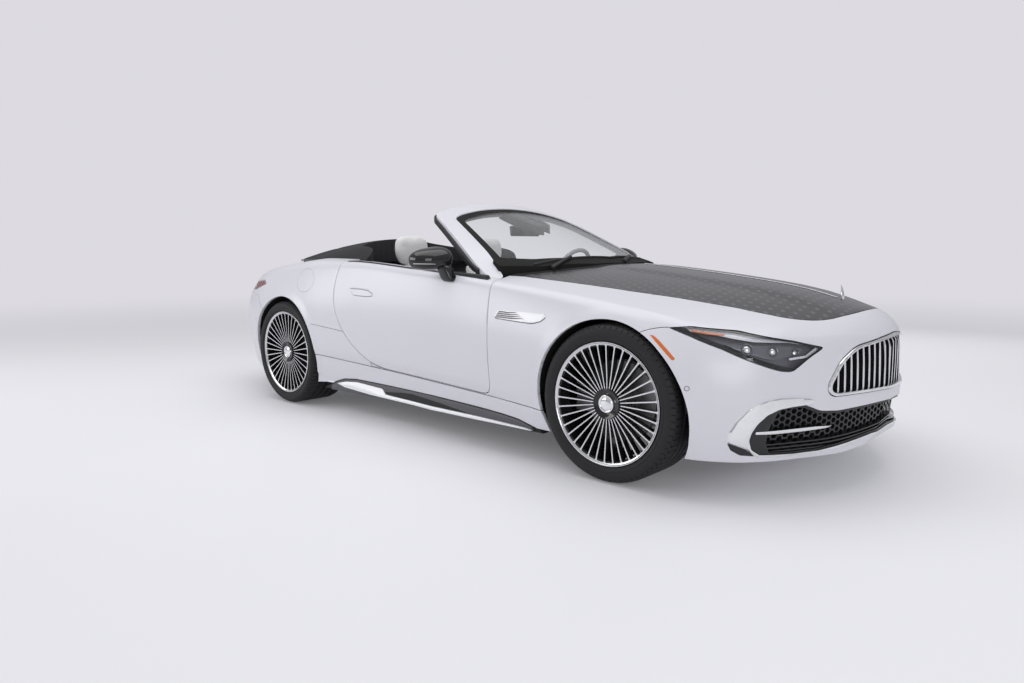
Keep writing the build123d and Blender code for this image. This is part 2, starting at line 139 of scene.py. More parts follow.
def blendColours(wire, factor, first, second):
    return wire.make(
        "ShaderNodeMix",
        {"data_type": "RGBA"},
        {0: factor, 6: (*first, 1) if isinstance(first, tuple) else first,
         7: (*second, 1) if isinstance(second, tuple) else second},
        2,
    )


def bump(wire, height, strength, distance):
    return wire.make("ShaderNodeBump", None, {"Height": height, "Strength": strength, "Distance": distance})


def satinPaint(name, base, shade, roughness, coat=0.35):
    # satin car paint: faint flake, a slight orange peel and patchy dust
    material, shader, wire, place = startFinish(
        name, {"Roughness": roughness, "Metallic": 0.0, "Coat Weight": coat, "Coat Roughness": 0.22}
    )
    flake = noise(wire, place, 900, 1.0)
    cloud = noise(wire, place, 2.5, 3.0)
    feed(wire, shader, "Base Color", blendColours(wire, flake * 0.35 + cloud * 0.4, base, shade))
    feed(wire, shader, "Roughness", cloud * 0.08 + (roughness - 0.04))
    feed(wire, shader, "Normal", bump(wire, noise(wire, place, 260, 1.0), 0.04, 0.0006))
    return material


def dottedPaint(name):
    # satin dark paint with two staggered rows of fainter dots
    material, shader, wire, place = startFinish(name, {"Coat Weight": 0.5, "Coat Roughness": 0.16})
    dots = None
    for shift in (0.25, 0.75):
        along = wire.maths("FRACT", place.part("X") / 0.09 + (20 + shift)) - 0.5
        across = wire.maths("FRACT", place.part("Y") / 0.052 + (20 + shift)) - 0.5
        away = along * along * 3.0 + across * across
        dots = away.below(0.035) if dots is None else dots + away.below(0.035)
    cloud = noise(wire, place, 2.5, 3.0)
    flat = blendColours(wire, cloud * 0.5, (0.021, 0.021, 0.026), (0.017, 0.017, 0.021))
    feed(wire, shader, "Base Color", blendColours(wire, dots * 0.85, flat, (0.090, 0.090, 0.104)))
    feed(wire, shader, "Roughness", cloud * 0.08 + dots * 0.05 + 0.32)
    return material


def plainPlastic(name, base, roughness, grain=350, depth=0.0004, strength=0.25, metallic=0.0):
    # moulded or cast surface with a fine grain and uneven gloss
    material, shader, wire, place = startFinish(
        name, {"Roughness": roughness, "Metallic": metallic, "Specular IOR Level": 0.25 if roughness > 0.2 else 0.5}
    )
    speck = noise(wire, place, grain, 3.0)
    cloud = noise(wire, place, 6, 3.0)
    lighter = tuple(min(1, channel * 1.35 + 0.004) for channel in base)
    feed(wire, shader, "Base Color", blendColours(wire, speck * 0.5 + cloud * 0.3, base, lighter))
    feed(wire, shader, "Roughness", cloud * 0.14 + (roughness - 0.07))
    feed(wire, shader, "Normal", bump(wire, speck, strength, depth))
    return material


def polishedMetal(name, base, roughness):
    # bright trim with faint polishing marks
    material, shader, wire, place = startFinish(name, {"Roughness": roughness, "Metallic": 1.0})
    streak = noise(wire, place, 40, 4.0)
    darker = tuple(channel * 0.86 for channel in base)
    feed(wire, shader, "Base Color", blendColours(wire, streak, base, darker))
    feed(wire, shader, "Roughness", streak * 0.08 + roughness)
    return material


def machinedAlloy(name):
    # gloss black with the outward faces turned bright
    material, shader, wire, place = startFinish(name, {"Coat Weight": 0.3, "Coat Roughness": 0.08})
    facing = wire.make("ShaderNodeTexCoord", output="Normal").part("Y")
    outward = wire.maths("ABSOLUTE", facing).above(0.75) * wire.maths("ABSOLUTE", place.part("Y")).above(0.905)
    streak = noise(wire, place, 120, 3.0)
    bright = blendColours(wire, streak, (0.74, 0.74, 0.76), (0.6, 0.6, 0.62))
    feed(wire, shader, "Base Color", blendColours(wire, outward, (0.012, 0.012, 0.013), bright))
    feed(wire, shader, "Metallic", outward)
    feed(wire, shader, "Roughness", outward * 0.04 + streak * 0.08 + 0.16)
    return material


def clearPane(name, tint, gain):
    # thin glass: straight through, with a reflection that grows at the edge of sight
    material, shader, wire, place = startFinish(name, {"Roughness": 0.02, "Metallic": 1.0})
    smear = noise(wire, place, 9, 3.0)
    feed(wire, shader, "Roughness", smear * 0.03 + 0.01)
    shader.inputs["Base Color"].default_value = (1, 1, 1, 1)
    through = wire.make("ShaderNodeBsdfTransparent", None, {"Color": (*tint, 1)})
    facing = wire.make("ShaderNodeLayerWeight", None, {"Blend": 0.5}, 1)
    edge = wire.maths("POWER", facing, 4.0) * gain + 0.03
    mix = wire.make("ShaderNodeMixShader", None, {0: edge})
    tree = material.node_tree
    tree.links.new(through.socket, mix.socket.node.inputs[1])
    tree.links.new(shader.outputs[0], mix.socket.node.inputs[2])
    tree.links.new(mix.socket, tree.nodes["Material Output"].inputs["Surface"])
    return material


def lampLens(name, base):
    # coloured lens with fine upright flutes under a hard gloss
    material, shader, wire, place = startFinish(name, {"Coat Weight": 1.0, "Coat Roughness": 0.03})
    flute = wire.make("ShaderNodeTexWave", {"bands_direction": "X"}, {"Vector": place, "Scale": 90.0}, 1)
    darker = tuple(channel * 0.6 for channel in base)
    feed(wire, shader, "Base Color", blendColours(wire, flute, darker, base))
    feed(wire, shader, "Roughness", flute * 0.1 + 0.12)
    return material


def leather(name, base):
    # grained hide: fine cells and soft wear
    material, shader, wire, place = startFinish(name, {"Roughness": 0.5})
    cells = wire.make("ShaderNodeTexVoronoi", None, {"Vector": place, "Scale": 420.0})
    cloud = noise(wire, place, 5, 3.0)
    darker = tuple(channel * 0.82 for channel in base)
    feed(wire, shader, "Base Color", blendColours(wire, cells * 0.4 + cloud * 0.3, base, darker))
    feed(wire, shader, "Roughness", cloud * 0.16 + 0.4)
    feed(wire, shader, "Normal", bump(wire, cells + cloud * 0.3, 0.35, 0.0005))
    return material


def roofWeave(name, base):
    # woven cloth: two crossing threads
    material, shader, wire, place = startFinish(name, {"Roughness": 0.9})
    warp = wire.make("ShaderNodeTexWave", {"bands_direction": "X"}, {"Vector": place, "Scale": 180.0}, 1)
    weft = wire.make("ShaderNodeTexWave", {"bands_direction": "Y"}, {"Vector": place, "Scale": 180.0}, 1)
    cloud = noise(wire, place, 4, 4.0)
    lighter = tuple(channel * 1.9 for channel in base)
    feed(wire, shader, "Base Color", blendColours(wire, warp * 0.3 + weft * 0.3 + cloud * 0.5, base, lighter))
    feed(wire, shader, "Roughness", cloud * 0.1 + 0.84)
    feed(wire, shader, "Normal", bump(wire, warp + weft, 0.4, 0.0006))
    return material


finishes = {
    "bodyPaint": satinPaint("bodyPaint", (0.67, 0.665, 0.715), (0.62, 0.615, 0.665), 0.36),
    "bonnetPaint": dottedPaint("bonnetPaint"),
    "blackGloss": plainPlastic("blackGloss", (0.008, 0.008, 0.009), 0.09, 60, 0.0001, 0.05),
    "blackTrim": plainPlastic("blackTrim", (0.012, 0.012, 0.013), 0.5),
    "darkInner": plainPlastic("darkInner", (0.006, 0.006, 0.006), 0.8, 90, 0.001),
    "chrome": polishedMetal("chrome", (0.86, 0.86, 0.88), 0.05),
    "darkChrome": polishedMetal("darkChrome", (0.2, 0.2, 0.21), 0.16),
    "castMetal": plainPlastic("castMetal", (0.2, 0.2, 0.21), 0.55, 120, 0.0012, 0.5, 0.8),
    "tyreRubber": plainPlastic("tyreRubber", (0.014, 0.014, 0.015), 0.58, 300, 0.0004, 0.3),
    "alloyBlack": machinedAlloy("alloyBlack"),
    "alloyBright": polishedMetal("alloyBright", (0.72, 0.72, 0.74), 0.2),
    "discSteel": polishedMetal("discSteel", (0.34, 0.34, 0.35), 0.3),
    "glass": clearPane("glass", (0.975, 0.985, 0.985), 0.6),
    "lampCover": clearPane("lampCover", (0.97, 0.97, 0.98), 0.45),
    "lampRed": lampLens("lampRed", (0.28, 0.006, 0.008)),
    "lampAmber": lampLens("lampAmber", (0.75, 0.16, 0.01)),
    "lampWhite": lampLens("lampWhite", (0.85, 0.86, 0.9)),
    "graphite": plainPlastic("graphite", (0.13, 0.13, 0.145), 0.34, 120, 0.0003, 0.2, 0.4),
    "paleLeather": leather("paleLeather", (0.74, 0.73, 0.73)),
    "darkLeather": leather("darkLeather", (0.018, 0.018, 0.02)),
    "greyTrim": plainPlastic("greyTrim", (0.36, 0.36, 0.38), 0.5),
    "roofCloth": roofWeave("roofCloth", (0.012, 0.012, 0.014)),
    "carpet": plainPlastic("carpet", (0.02, 0.02, 0.022), 0.95, 700, 0.003, 0.8),
    "sillGrey": satinPaint("sillGrey", (0.075, 0.075, 0.085), (0.06, 0.06, 0.07), 0.4, 0.1),
    # pale non-metal paint for bright trim: its whiteness is a painted reflection standing in for chrome
    "brightSatin": satinPaint("brightSatin", (0.80, 0.80, 0.83), (0.74, 0.74, 0.77), 0.25, 0.6),
    "wheelGrey": leather("wheelGrey", (0.30, 0.30, 0.315)),
    "plateWhite": plainPlastic("plateWhite", (0.55, 0.55, 0.56), 0.4, 40, 0.0001, 0.1),
    "exhaustSteel": polishedMetal("exhaustSteel", (0.42, 0.41, 0.40), 0.34),
}
print("finishes made")


def deselectAll():
    if bpy.context.object and bpy.context.object.mode != "OBJECT":
        bpy.ops.object.mode_set(mode="OBJECT")
    bpy.ops.object.select_all(action="DESELECT")


def activate(obj):
    deselectAll()
    obj.select_set(True)
    bpy.context.view_layer.objects.active = obj


def modify(obj, kind, **settings):
    # add one modifier and apply it
    activate(obj)
    modifier = obj.modifiers.new(kind.lower(), kind)
    for name, value in settings.items():
        setattr(modifier, name, value)
    bpy.ops.object.modifier_apply(modifier=modifier.name)


def placeOf(obj):
    points = np.empty(len(obj.data.vertices) * 3)
    obj.data.vertices.foreach_get("co", points)
    return points.reshape(-1, 3)


def setPlace(obj, points):
    obj.data.vertices.foreach_set("co", np.asarray(points, float).ravel())
    obj.data.update()


def copyOf(obj, name):
    twin = obj.copy()
    twin.data = obj.data.copy()
    twin.name = name
    bpy.context.collection.objects.link(twin)
    return twin


def tidyNormals(obj, merge=0.00005):
    activate(obj)
    bpy.ops.object.mode_set(mode="EDIT")
    bpy.ops.mesh.select_all(action="SELECT")
    if merge:
        bpy.ops.mesh.remove_doubles(threshold=merge)
    bpy.ops.mesh.normals_make_consistent(inside=False)
    bpy.ops.object.mode_set(mode="OBJECT")


def finishPiece(obj, body, finish, slot, replaced=(), angle=35):
    # smooth, coloured, and fixed to what carries it
    activate(obj)
    bpy.ops.object.shade_smooth_by_angle(angle=math.radians(angle))
    obj.data.materials.clear()
    obj.data.materials.append(finishes[finish])
    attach(obj, body)
    if replaced:
        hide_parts(*replaced)
    return obj


# The body's surface: one row for each cross-section, in metres, as the solid has it.
bodyColumns = (
    "x", "baseZ", "baseY", "widestY", "widestZ", "shoulderY", "shoulderZ", "crownZ", "round"
)
bodyRows = (
    (2.350, 0.330, 0.060, 0.090, 0.480, 0.070, 0.620, 0.650, 0.012),
    (2.300, 0.200, 0.215, 0.262, 0.460, 0.225, 0.672, 0.728, 0.040),
    (2.237, 0.180, 0.385, 0.430, 0.450, 0.385, 0.680, 0.775, 0.070),
    (2.150, 0.177, 0.545, 0.605, 0.440, 0.545, 0.680, 0.800, 0.080),
    (2.050, 0.176, 0.710, 0.775, 0.440, 0.690, 0.690, 0.826, 0.090),
    (1.940, 0.175, 0.815, 0.875, 0.450, 0.790, 0.705, 0.852, 0.090),
    (1.800, 0.175, 0.880, 0.935, 0.460, 0.860, 0.730, 0.878, 0.090),
    (1.620, 0.175, 0.905, 0.957, 0.480, 0.880, 0.770, 0.903, 0.090),
    (1.400, 0.175, 0.915, 0.958, 0.520, 0.885, 0.805, 0.930, 0.085),
    (1.050, 0.175, 0.895, 0.945, 0.540, 0.880, 0.850, 0.965, 0.075),
    (0.650, 0.178, 0.880, 0.930, 0.560, 0.875, 0.890, 0.990, 0.060),
    (0.000, 0.180, 0.870, 0.925, 0.560, 0.880, 0.945, 1.005, 0.050),
    (-0.620, 0.182, 0.885, 0.942, 0.570, 0.880, 0.985, 1.040, 0.060),
    (-1.000, 0.185, 0.905, 0.957, 0.580, 0.875, 0.985, 1.055, 0.080),
    (-1.295, 0.188, 0.910, 0.958, 0.580, 0.850, 0.965, 1.045, 0.100),
    (-1.600, 0.195, 0.890, 0.945, 0.590, 0.800, 0.940, 1.000, 0.120),
    (-1.900, 0.210, 0.810, 0.870, 0.600, 0.715, 0.905, 0.950, 0.110),
    (-2.150, 0.240, 0.660, 0.705, 0.600, 0.600, 0.862, 0.922, 0.090),
    (-2.250, 0.268, 0.570, 0.620, 0.590, 0.512, 0.842, 0.905, 0.060),
    (-2.300, 0.290, 0.510, 0.562, 0.565, 0.455, 0.792, 0.865, 0.045),
    (-2.332, 0.320, 0.440, 0.492, 0.540, 0.400, 0.705, 0.755, 0.035),
    (-2.350, 0.365, 0.340, 0.392, 0.520, 0.330, 0.640, 0.670, 0.025),
)
wheels = {
    "frontX": 1.405, "rearX": -1.295, "frontRadius": 0.363, "rearRadius": 0.358,
    "archRadius": 0.390, "faceY": 0.935,
}
skin = {
    "stations": 312,        # rings along the car
    "base": 5, "lowerSide": 20, "upperSide": 24, "shoulder": 10, "crown": 28,   # steps round half a ring
    "flareReach": 0.055, "flareHeight": 0.007,
    "domeEdge": 0.288, "domeHeight": 0.009,
    "creaseHeight": 0.378, "creaseFall": 0.0442, "capSteps": (0.97, 0.88, 0.7, 0.45, 0.2, 0.0), "capBulge": 0.003,
}


def smoothCurve(knots, values, places):
    # a monotone cubic through the rows, so nothing overshoots between them
    step = np.diff(knots)[:, None]
    slope = np.diff(values, axis=0) / step
    tangent = np.zeros_like(values)
    before, after = slope[:-1], slope[1:]
    weightBefore = 2 * step[1:] + step[:-1]
    weightAfter = step[1:] + 2 * step[:-1]
    with np.errstate(divide="ignore", invalid="ignore"):
        inner = (weightBefore + weightAfter) / (weightBefore / before + weightAfter / after)
    tangent[1:-1] = np.where(before * after > 0, inner, 0)
    tangent[0], tangent[-1] = slope[0], slope[-1]
    cell = np.clip(np.searchsorted(knots, places) - 1, 0, len(knots) - 2)
    width = step[cell]
    t = ((places - knots[cell])[:, None]) / width
    return (
        (2 * t**3 - 3 * t**2 + 1) * values[cell] + (t**3 - 2 * t**2 + t) * width * tangent[cell]
        + (-2 * t**3 + 3 * t**2) * values[cell + 1] + (t**3 - t**2) * width * tangent[cell + 1]
    )


def sideArc(widest, other):
    # the circle that is upright at the widest point and passes through the other one
    across = widest[0] - other[0]
    rise = other[1] - widest[1]
    radius = (across**2 + rise**2) / (2 * across)
    middle = widest[0] - radius
    return middle, widest[1], radius, math.atan2(rise, other[0] - middle)


def halfRing(row):
    # (y, z) points from the bottom centre round the left side to the top centre
    place = dict(zip(bodyColumns[1:], row))
    widest = (place["widestY"], place["widestZ"])
    base = (place["baseY"], place["baseZ"])
    shoulder = (place["shoulderY"], place["shoulderZ"])
    points = [(base[0] * k / skin["base"], base[1]) for k in range(skin["base"])]
    midY, midZ, radius, turn = sideArc(widest, base)
    for k in range(skin["lowerSide"]):
        angle = turn * (1 - k / skin["lowerSide"])
        points.append((midY + radius * math.cos(angle), midZ + radius * math.sin(angle)))
    midY, midZ, radius, turn = sideArc(widest, shoulder)
    rise = place["crownZ"] - shoulder[1]
    crownRadius = (shoulder[0] ** 2 + rise**2) / (2 * rise)
    crownMid = place["crownZ"] - crownRadius
    # the round at the shoulder touches both arcs from inside
    reachSide, reachCrown = radius - place["round"], crownRadius - place["round"]
    spanY, spanZ = -midY, crownMid - midZ
    span = math.hypot(spanY, spanZ)
    along = (reachSide**2 - reachCrown**2 + span**2) / (2 * span)
    across = math.sqrt(max(reachSide**2 - along**2, 0))
    options = [
        (midY + along * spanY / span + sign * across * spanZ / span,
         midZ + along * spanZ / span - sign * across * spanY / span) for sign in (-1, 1)
    ]
    centre = max(options, key=lambda point: point[0] + point[1])
    startAngle = math.atan2(centre[1] - midZ, centre[0] - midY)
    endAngle = math.atan2(centre[1] - crownMid, centre[0])
    for k in range(skin["upperSide"]):
        angle = startAngle * k / skin["upperSide"]
        points.append((midY + radius * math.cos(angle), midZ + radius * math.sin(angle)))
    for k in range(skin["shoulder"]):
        angle = startAngle + (endAngle - startAngle) * k / skin["shoulder"]
        points.append((centre[0] + place["round"] * math.cos(angle), centre[1] + place["round"] * math.sin(angle)))
    for k in range(skin["crown"] + 1):
        angle = endAngle + (math.pi / 2 - endAngle) * k / skin["crown"]
        points.append((crownRadius * math.cos(angle), crownMid + crownRadius * math.sin(angle)))
    return np.array(points)


def bodyDetail(rings):
    # wheel-arch flares, bonnet domes and the crease above the sill, as pushes along the ring's normal
    x, y, z = rings[..., 0], rings[..., 1], rings[..., 2]
    onSide = np.clip((np.abs(y) - 0.70) / 0.12, 0, 1)
    push = np.zeros_like(x)
    for axleX, radius in ((wheels["frontX"], wheels["frontRadius"]), (wheels["rearX"], wheels["rearRadius"])):
        reach = np.hypot(x - axleX, z - radius) - wheels["archRadius"]
        near = np.clip(1 - np.clip(reach, 0, None) / skin["flareReach"], 0, 1)
        push += onSide * skin["flareHeight"] * near**2 * (3 - 2 * near) * (z > 0.25)
    forward = np.clip((x - 0.6) / 0.5, 0, 1) * np.clip((2.25 - x) / 0.3, 0, 1)
    edge = skin["domeEdge"]
    dome = 1 / (1 + np.exp((np.abs(y) - edge) / 0.012))
    push += skin["domeHeight"] * dome * forward * (z > 0.7)
    crease = skin["creaseHeight"] - skin["creaseFall"] * x
    below = np.clip((crease - z) / 0.055, 0, 1)
    between = np.clip((0.98 - x) / 0.35, 0, 1) * np.clip((x + 0.95) / 0.1, 0, 1)
    push -= 0.012 * below * onSide * between
    return push


def buildSkin():
    rows = np.array(sorted(bodyRows))
    places = np.concatenate([
        np.linspace(rows[0, 0], -2.10, 46, endpoint=False),
        np.linspace(-2.10, 2.10, skin["stations"] - 92),
        np.linspace(2.10, rows[-1, 0], 47)[1:],
    ])
    values = smoothCurve(rows[:, 0], rows[:, 1:], places)
    halves = np.array([halfRing(row) for row in values])
    left = halves
    right = halves[:, -2:0:-1] * (-1, 1)
    ring = np.concatenate([left, right, left[:, :1]], axis=1)
    rings = np.concatenate([np.repeat(places[:, None, None], ring.shape[1], axis=1), ring], axis=2)
    tangent = np.roll(ring[:, :-1], -1, axis=1) - np.roll(ring[:, :-1], 1, axis=1)
    tangent = np.concatenate([tangent, tangent[:, :1]], axis=1)
    normal = np.stack([tangent[..., 1], -tangent[..., 0]], axis=-1)
    normal /= np.linalg.norm(normal, axis=-1, keepdims=True)
    push = bodyDetail(rings)
    rings[..., 1:] += normal * push[..., None]
    caps = []
    for end, sign in ((0, -1), (-1, 1)):
        edge = rings[end]
        middle = edge[:-1].mean(axis=0)
        steps = []
        for scale in skin["capSteps"]:
            cap = middle + (edge - middle) * scale
            cap[:, 0] = edge[:, 0] + sign * skin["capBulge"] * (1 - scale**2)
            steps.append(cap)
        caps.append(np.array(steps))
    everything = np.concatenate([caps[0][::-1], rings, caps[1]], axis=0)
    deselectAll()
    bpy.ops.mesh.primitive_grid_add(
        x_subdivisions=everything.shape[1] - 1, y_subdivisions=everything.shape[0] - 1, size=1
    )
    source = bpy.context.object
    source.name = "skinSource"
    setPlace(source, everything.reshape(-1, 3))
    tidyNormals(source)
    return source


skinSource = buildSkin()
print("skin built", len(skinSource.data.polygons))

# Studio
studio = {
    "floorColour": (0.74, 0.74, 0.765), "floorSize": 160, "backdrop": (1.16, 1.14, 1.21),
    "fadeStart": 4.5, "fadeReach": 9.0,
    "cameraPlace": (3.2325, -3.5543, 1.0366), "heading": 132.33, "pitch": -6.98, "roll": -0.18, "lens": 25.30,
}


def buildStudio():
    deselectAll()
    bpy.ops.mesh.primitive_grid_add(x_subdivisions=8, y_subdivisions=8, size=studio["floorSize"])
    floor = bpy.context.object
    floor.name = "floor"
    material, shader, wire, place = startFinish(
        "floorFinish", {"Roughness": 0.6, "Emission Color": (1, 1, 1.04, 1), "Emission Strength": 0.09}
    )
    # far away, sight and reflections see the floor run into the backdrop; the lamps don't
    away = wire.maths("SQRT", place.part("X") * place.part("X") + place.part("Y") * place.part("Y"))
    looks = [wire.make("ShaderNodeLightPath", output=f"Is {kind} Ray") for kind in ("Camera", "Glossy", "Transmission")]
    fade = wire.maths("SMOOTH_MIN", (away - studio["fadeStart"]) / studio["fadeReach"], 1.0)
    fade = wire.maths("MAXIMUM", fade, 0.0) * wire.maths("MINIMUM", looks[0] + looks[1] + looks[2], 1.0)
    glow = wire.make("ShaderNodeEmission", None, {"Color": (*(c * 0.62 for c in studio["backdrop"]), 1)})
    mix = wire.make("ShaderNodeMixShader", None, {0: fade})
    tree = material.node_tree
    tree.links.new(shader.outputs[0], mix.socket.node.inputs[1])
    tree.links.new(glow.socket, mix.socket.node.inputs[2])
    tree.links.new(mix.socket, tree.nodes["Material Output"].inputs["Surface"])
    cloud = noise(wire, place, 0.6, 2.0)
    tone = studio["floorColour"]
    feed(wire, shader, "Base Color", blendColours(wire, cloud, tone, tuple(c * 0.97 for c in tone)))
    floor.data.materials.append(material)
    world = bpy.data.worlds.new("studio")
    bpy.context.scene.world = world
    world.use_nodes = True
    nodes = world.node_tree.nodes
    wire = Shade(world.node_tree)
    seen = wire.make("ShaderNodeLightPath", output="Is Camera Ray")
    up = wire.make("ShaderNodeTexCoord", output="Generated").part("Z")
    glow = wire.make(
        "ShaderNodeValToRGB",
        {"stops": ((0.0, (0.55, 0.55, 0.58)), (0.52, (0.62, 0.62, 0.66)), (0.62, (0.75, 0.75, 0.79)),
                   (1.0, (1.0, 1.0, 1.03)))},
        {"Fac": up * 0.5 + 0.5},
    )
    colour = blendColours(wire, seen, glow, studio["backdrop"])
    feed(wire, nodes["Background"], "Color", colour)
    nodes["Background"].inputs["Strength"].default_value = 0.62
    lamps = (
        ("overhead", (0.2, -0.4, 4.6), (0, 0, 0), (7.0, 3.6), 120),
        ("frontSide", (6.5, -4.5, 2.2), (1.2, 0, 0.5), (4.5, 2.4), 105),
        ("rearSide", (-5.0, -6.0, 2.4), (-0.6, 0, 0.6), (4.5, 2.4), 120),
        ("farSide", (0.0, 6.5, 3.0), (0, 0, 0.7), (6.0, 2.0), 70),
    )
    for name, place, aim, size, power in lamps:
        bpy.ops.object.light_add(type="AREA", location=place)
        lamp = bpy.context.object
        lamp.name = name
        lamp.data.shape = "RECTANGLE"
        lamp.data.size, lamp.data.size_y = size
        lamp.data.energy = power
        lamp.visible_glossy = name != "farSide"
        lamp.rotation_euler = (Vector(aim) - Vector(place)).to_track_quat("-Z", "Y").to_euler()
    cameraData = bpy.data.cameras.new("camera")
    cameraData.lens = studio["lens"]
    cameraData.sensor_width = 36
    camera = bpy.data.objects.new("camera", cameraData)
    bpy.context.collection.objects.link(camera)
    facing = Euler((math.radians(90 + studio["pitch"]), 0, math.radians(studio["heading"] - 90))).to_matrix()
    facing = facing @ Matrix.Rotation(math.radians(studio["roll"]), 3, "Z")
    camera.matrix_world = Matrix.Translation(studio["cameraPlace"]) @ facing.to_4x4()
    bpy.context.scene.camera = camera
    bpy.context.scene.view_settings.view_transform = "Standard"


buildStudio()
print("studio built")


# Outlines and the tools cut from them
def rounded(outline, radius, steps=5):
    # the same outline with each corner drawn as a short curve
    points = []
    count = len(outline)
    for k in range(count):
        here = np.array(outline[k], float)
        before = np.array(outline[k - 1], float) - here
        after = np.array(outline[(k + 1) % count], float) - here
        reach = min(radius, np.linalg.norm(before) * 0.49, np.linalg.norm(after) * 0.49)
        start = here + before / np.linalg.norm(before) * reach
        end = here + after / np.linalg.norm(after) * reach
        for step in range(steps + 1):
            t = step / steps
            points.append(tuple((1 - t) ** 2 * start + 2 * t * (1 - t) * here + t**2 * end))
    return points


def grown(outline, amount):
    # the outline moved outwards by an even amount
    points = np.array(outline, float)
    ahead = np.roll(points, -1, axis=0) - points
    ahead /= np.linalg.norm(ahead, axis=1, keepdims=True)
    turn = np.sign(np.sum(points[:, 0] * np.roll(points[:, 1], -1) - np.roll(points[:, 0], -1) * points[:, 1]))
    out = np.stack([ahead[:, 1], -ahead[:, 0]], axis=1) * turn
    joint = out + np.roll(out, 1, axis=0)
    joint /= np.maximum(np.sum(joint * out, axis=1, keepdims=True), 0.35)
    return [tuple(point) for point in points + joint * amount]


def inset(outline, amount, radius):
    # a smaller outline with rounded corners
    return rounded(grown(outline, -amount), radius)


def dense(outline, step):
    # the same outline with points added along its long edges, so that it can be bent
    points = []
    for here, ahead in zip(outline, list(outline[1:]) + [outline[0]]):
        count = max(1, math.ceil(math.dist(here, ahead) / step))
        points += [(here[0] + (ahead[0] - here[0]) * k / count, here[1] + (ahead[1] - here[1]) * k / count)
                   for k in range(count)]
    return points


def bothHalves(half):
    # a symmetric (across, along) outline from the half whose first value is over or at 0
    return [(-a, b) for a, b in half] + [(a, b) for a, b in reversed(half) if a > 0]


def prism(outline, facing, low, high, name="tool"):
    # an outline pushed through the body: facing X takes (y, z) points, Y (x, z), Z (x, y)
    deselectAll()
    bpy.ops.mesh.primitive_circle_add(vertices=len(outline), radius=1, fill_type="NGON")
    tool = bpy.context.object
    tool.name = name
    flat = np.array(outline)
    level = np.full(len(flat), low)
    columns = {"X": (level, flat[:, 0], flat[:, 1]), "Y": (flat[:, 0], level, flat[:, 1]),
               "Z": (flat[:, 0], flat[:, 1], level)}[facing]
    setPlace(tool, np.stack(columns, axis=1))
    push = {"X": (high - low, 0, 0), "Y": (0, high - low, 0), "Z": (0, 0, high - low)}[facing]
    bpy.ops.object.mode_set(mode="EDIT")
    bpy.ops.mesh.select_all(action="SELECT")
    bpy.ops.mesh.extrude_region_move(TRANSFORM_OT_translate={"value": push})
    bpy.ops.object.mode_set(mode="OBJECT")
    tidyNormals(tool, merge=0)
    if name == "tool":
        tool["cutter"] = 1
    return tool


def cut(obj, tool, operation):
    modify(obj, "BOOLEAN", solver="MANIFOLD", operation=operation, object=tool)


def shaped(obj, keep, remove):
    for tool in keep:
        cut(obj, tool, "INTERSECT")
    for tool in remove:
        cut(obj, tool, "DIFFERENCE")


def roundEdges(obj, width, segments=2, sharp=50):
    # bevel the edges sharper than an angle in degrees
    modify(obj, "BEVEL", width=width, segments=segments, limit_method="ANGLE", angle_limit=math.radians(sharp),
           use_clamp_overlap=True)


def crop(obj, low, high):
    # keep the stretch of surface inside a box
    mesh = bmesh.new()
    mesh.from_mesh(obj.data)
    for axis in range(3):
        for limit, sign in ((low[axis], -1), (high[axis], 1)):
            place = [0, 0, 0]
            facing = [0, 0, 0]
            place[axis] = limit
            facing[axis] = sign
            bmesh.ops.bisect_plane(
                mesh, geom=mesh.verts[:] + mesh.edges[:] + mesh.faces[:], plane_co=place, plane_no=facing,
                clear_outer=True,
            )
    mesh.to_mesh(obj.data)
    mesh.free()


def keepLargest(obj):
    # drop slivers that the cutting left beside the piece
    mesh = bmesh.new()
    mesh.from_mesh(obj.data)
    unseen = set(mesh.faces)
    groups = []
    while unseen:
        start = unseen.pop()
        group = [start]
        stack = [start]
        while stack:
            for edge in stack.pop().edges:
                for other in edge.link_faces:
                    if other in unseen:
                        unseen.discard(other)
                        group.append(other)
                        stack.append(other)
        groups.append(group)
    groups.sort(key=len)
    for group in groups[:-1]:
        bmesh.ops.delete(mesh, geom=group, context="FACES")
    mesh.to_mesh(obj.data)
    mesh.free()


def panel(name, low, high, keep, remove):
    # a stretch of the skin given its thickness, cut along its shut lines
    piece = copyOf(skinSource, name)
    crop(piece, low, high)
    modify(piece, "SOLIDIFY", thickness=panels["thickness"], offset=-1)
    shaped(piece, keep, remove)
    keepLargest(piece)
    roundEdges(piece, panels["edgeRound"], 2, 60)
    return piece


def mirrorOf(obj, name):
    # the left-hand twin of a right-hand piece
    twin = copyOf(obj, name)
    points = placeOf(twin)
    points[:, 1] *= -1
    setPlace(twin, points)
    activate(twin)
    bpy.ops.object.mode_set(mode="EDIT")
    bpy.ops.mesh.select_all(action="SELECT")
    bpy.ops.mesh.flip_normals()
    bpy.ops.object.mode_set(mode="OBJECT")
    return twin


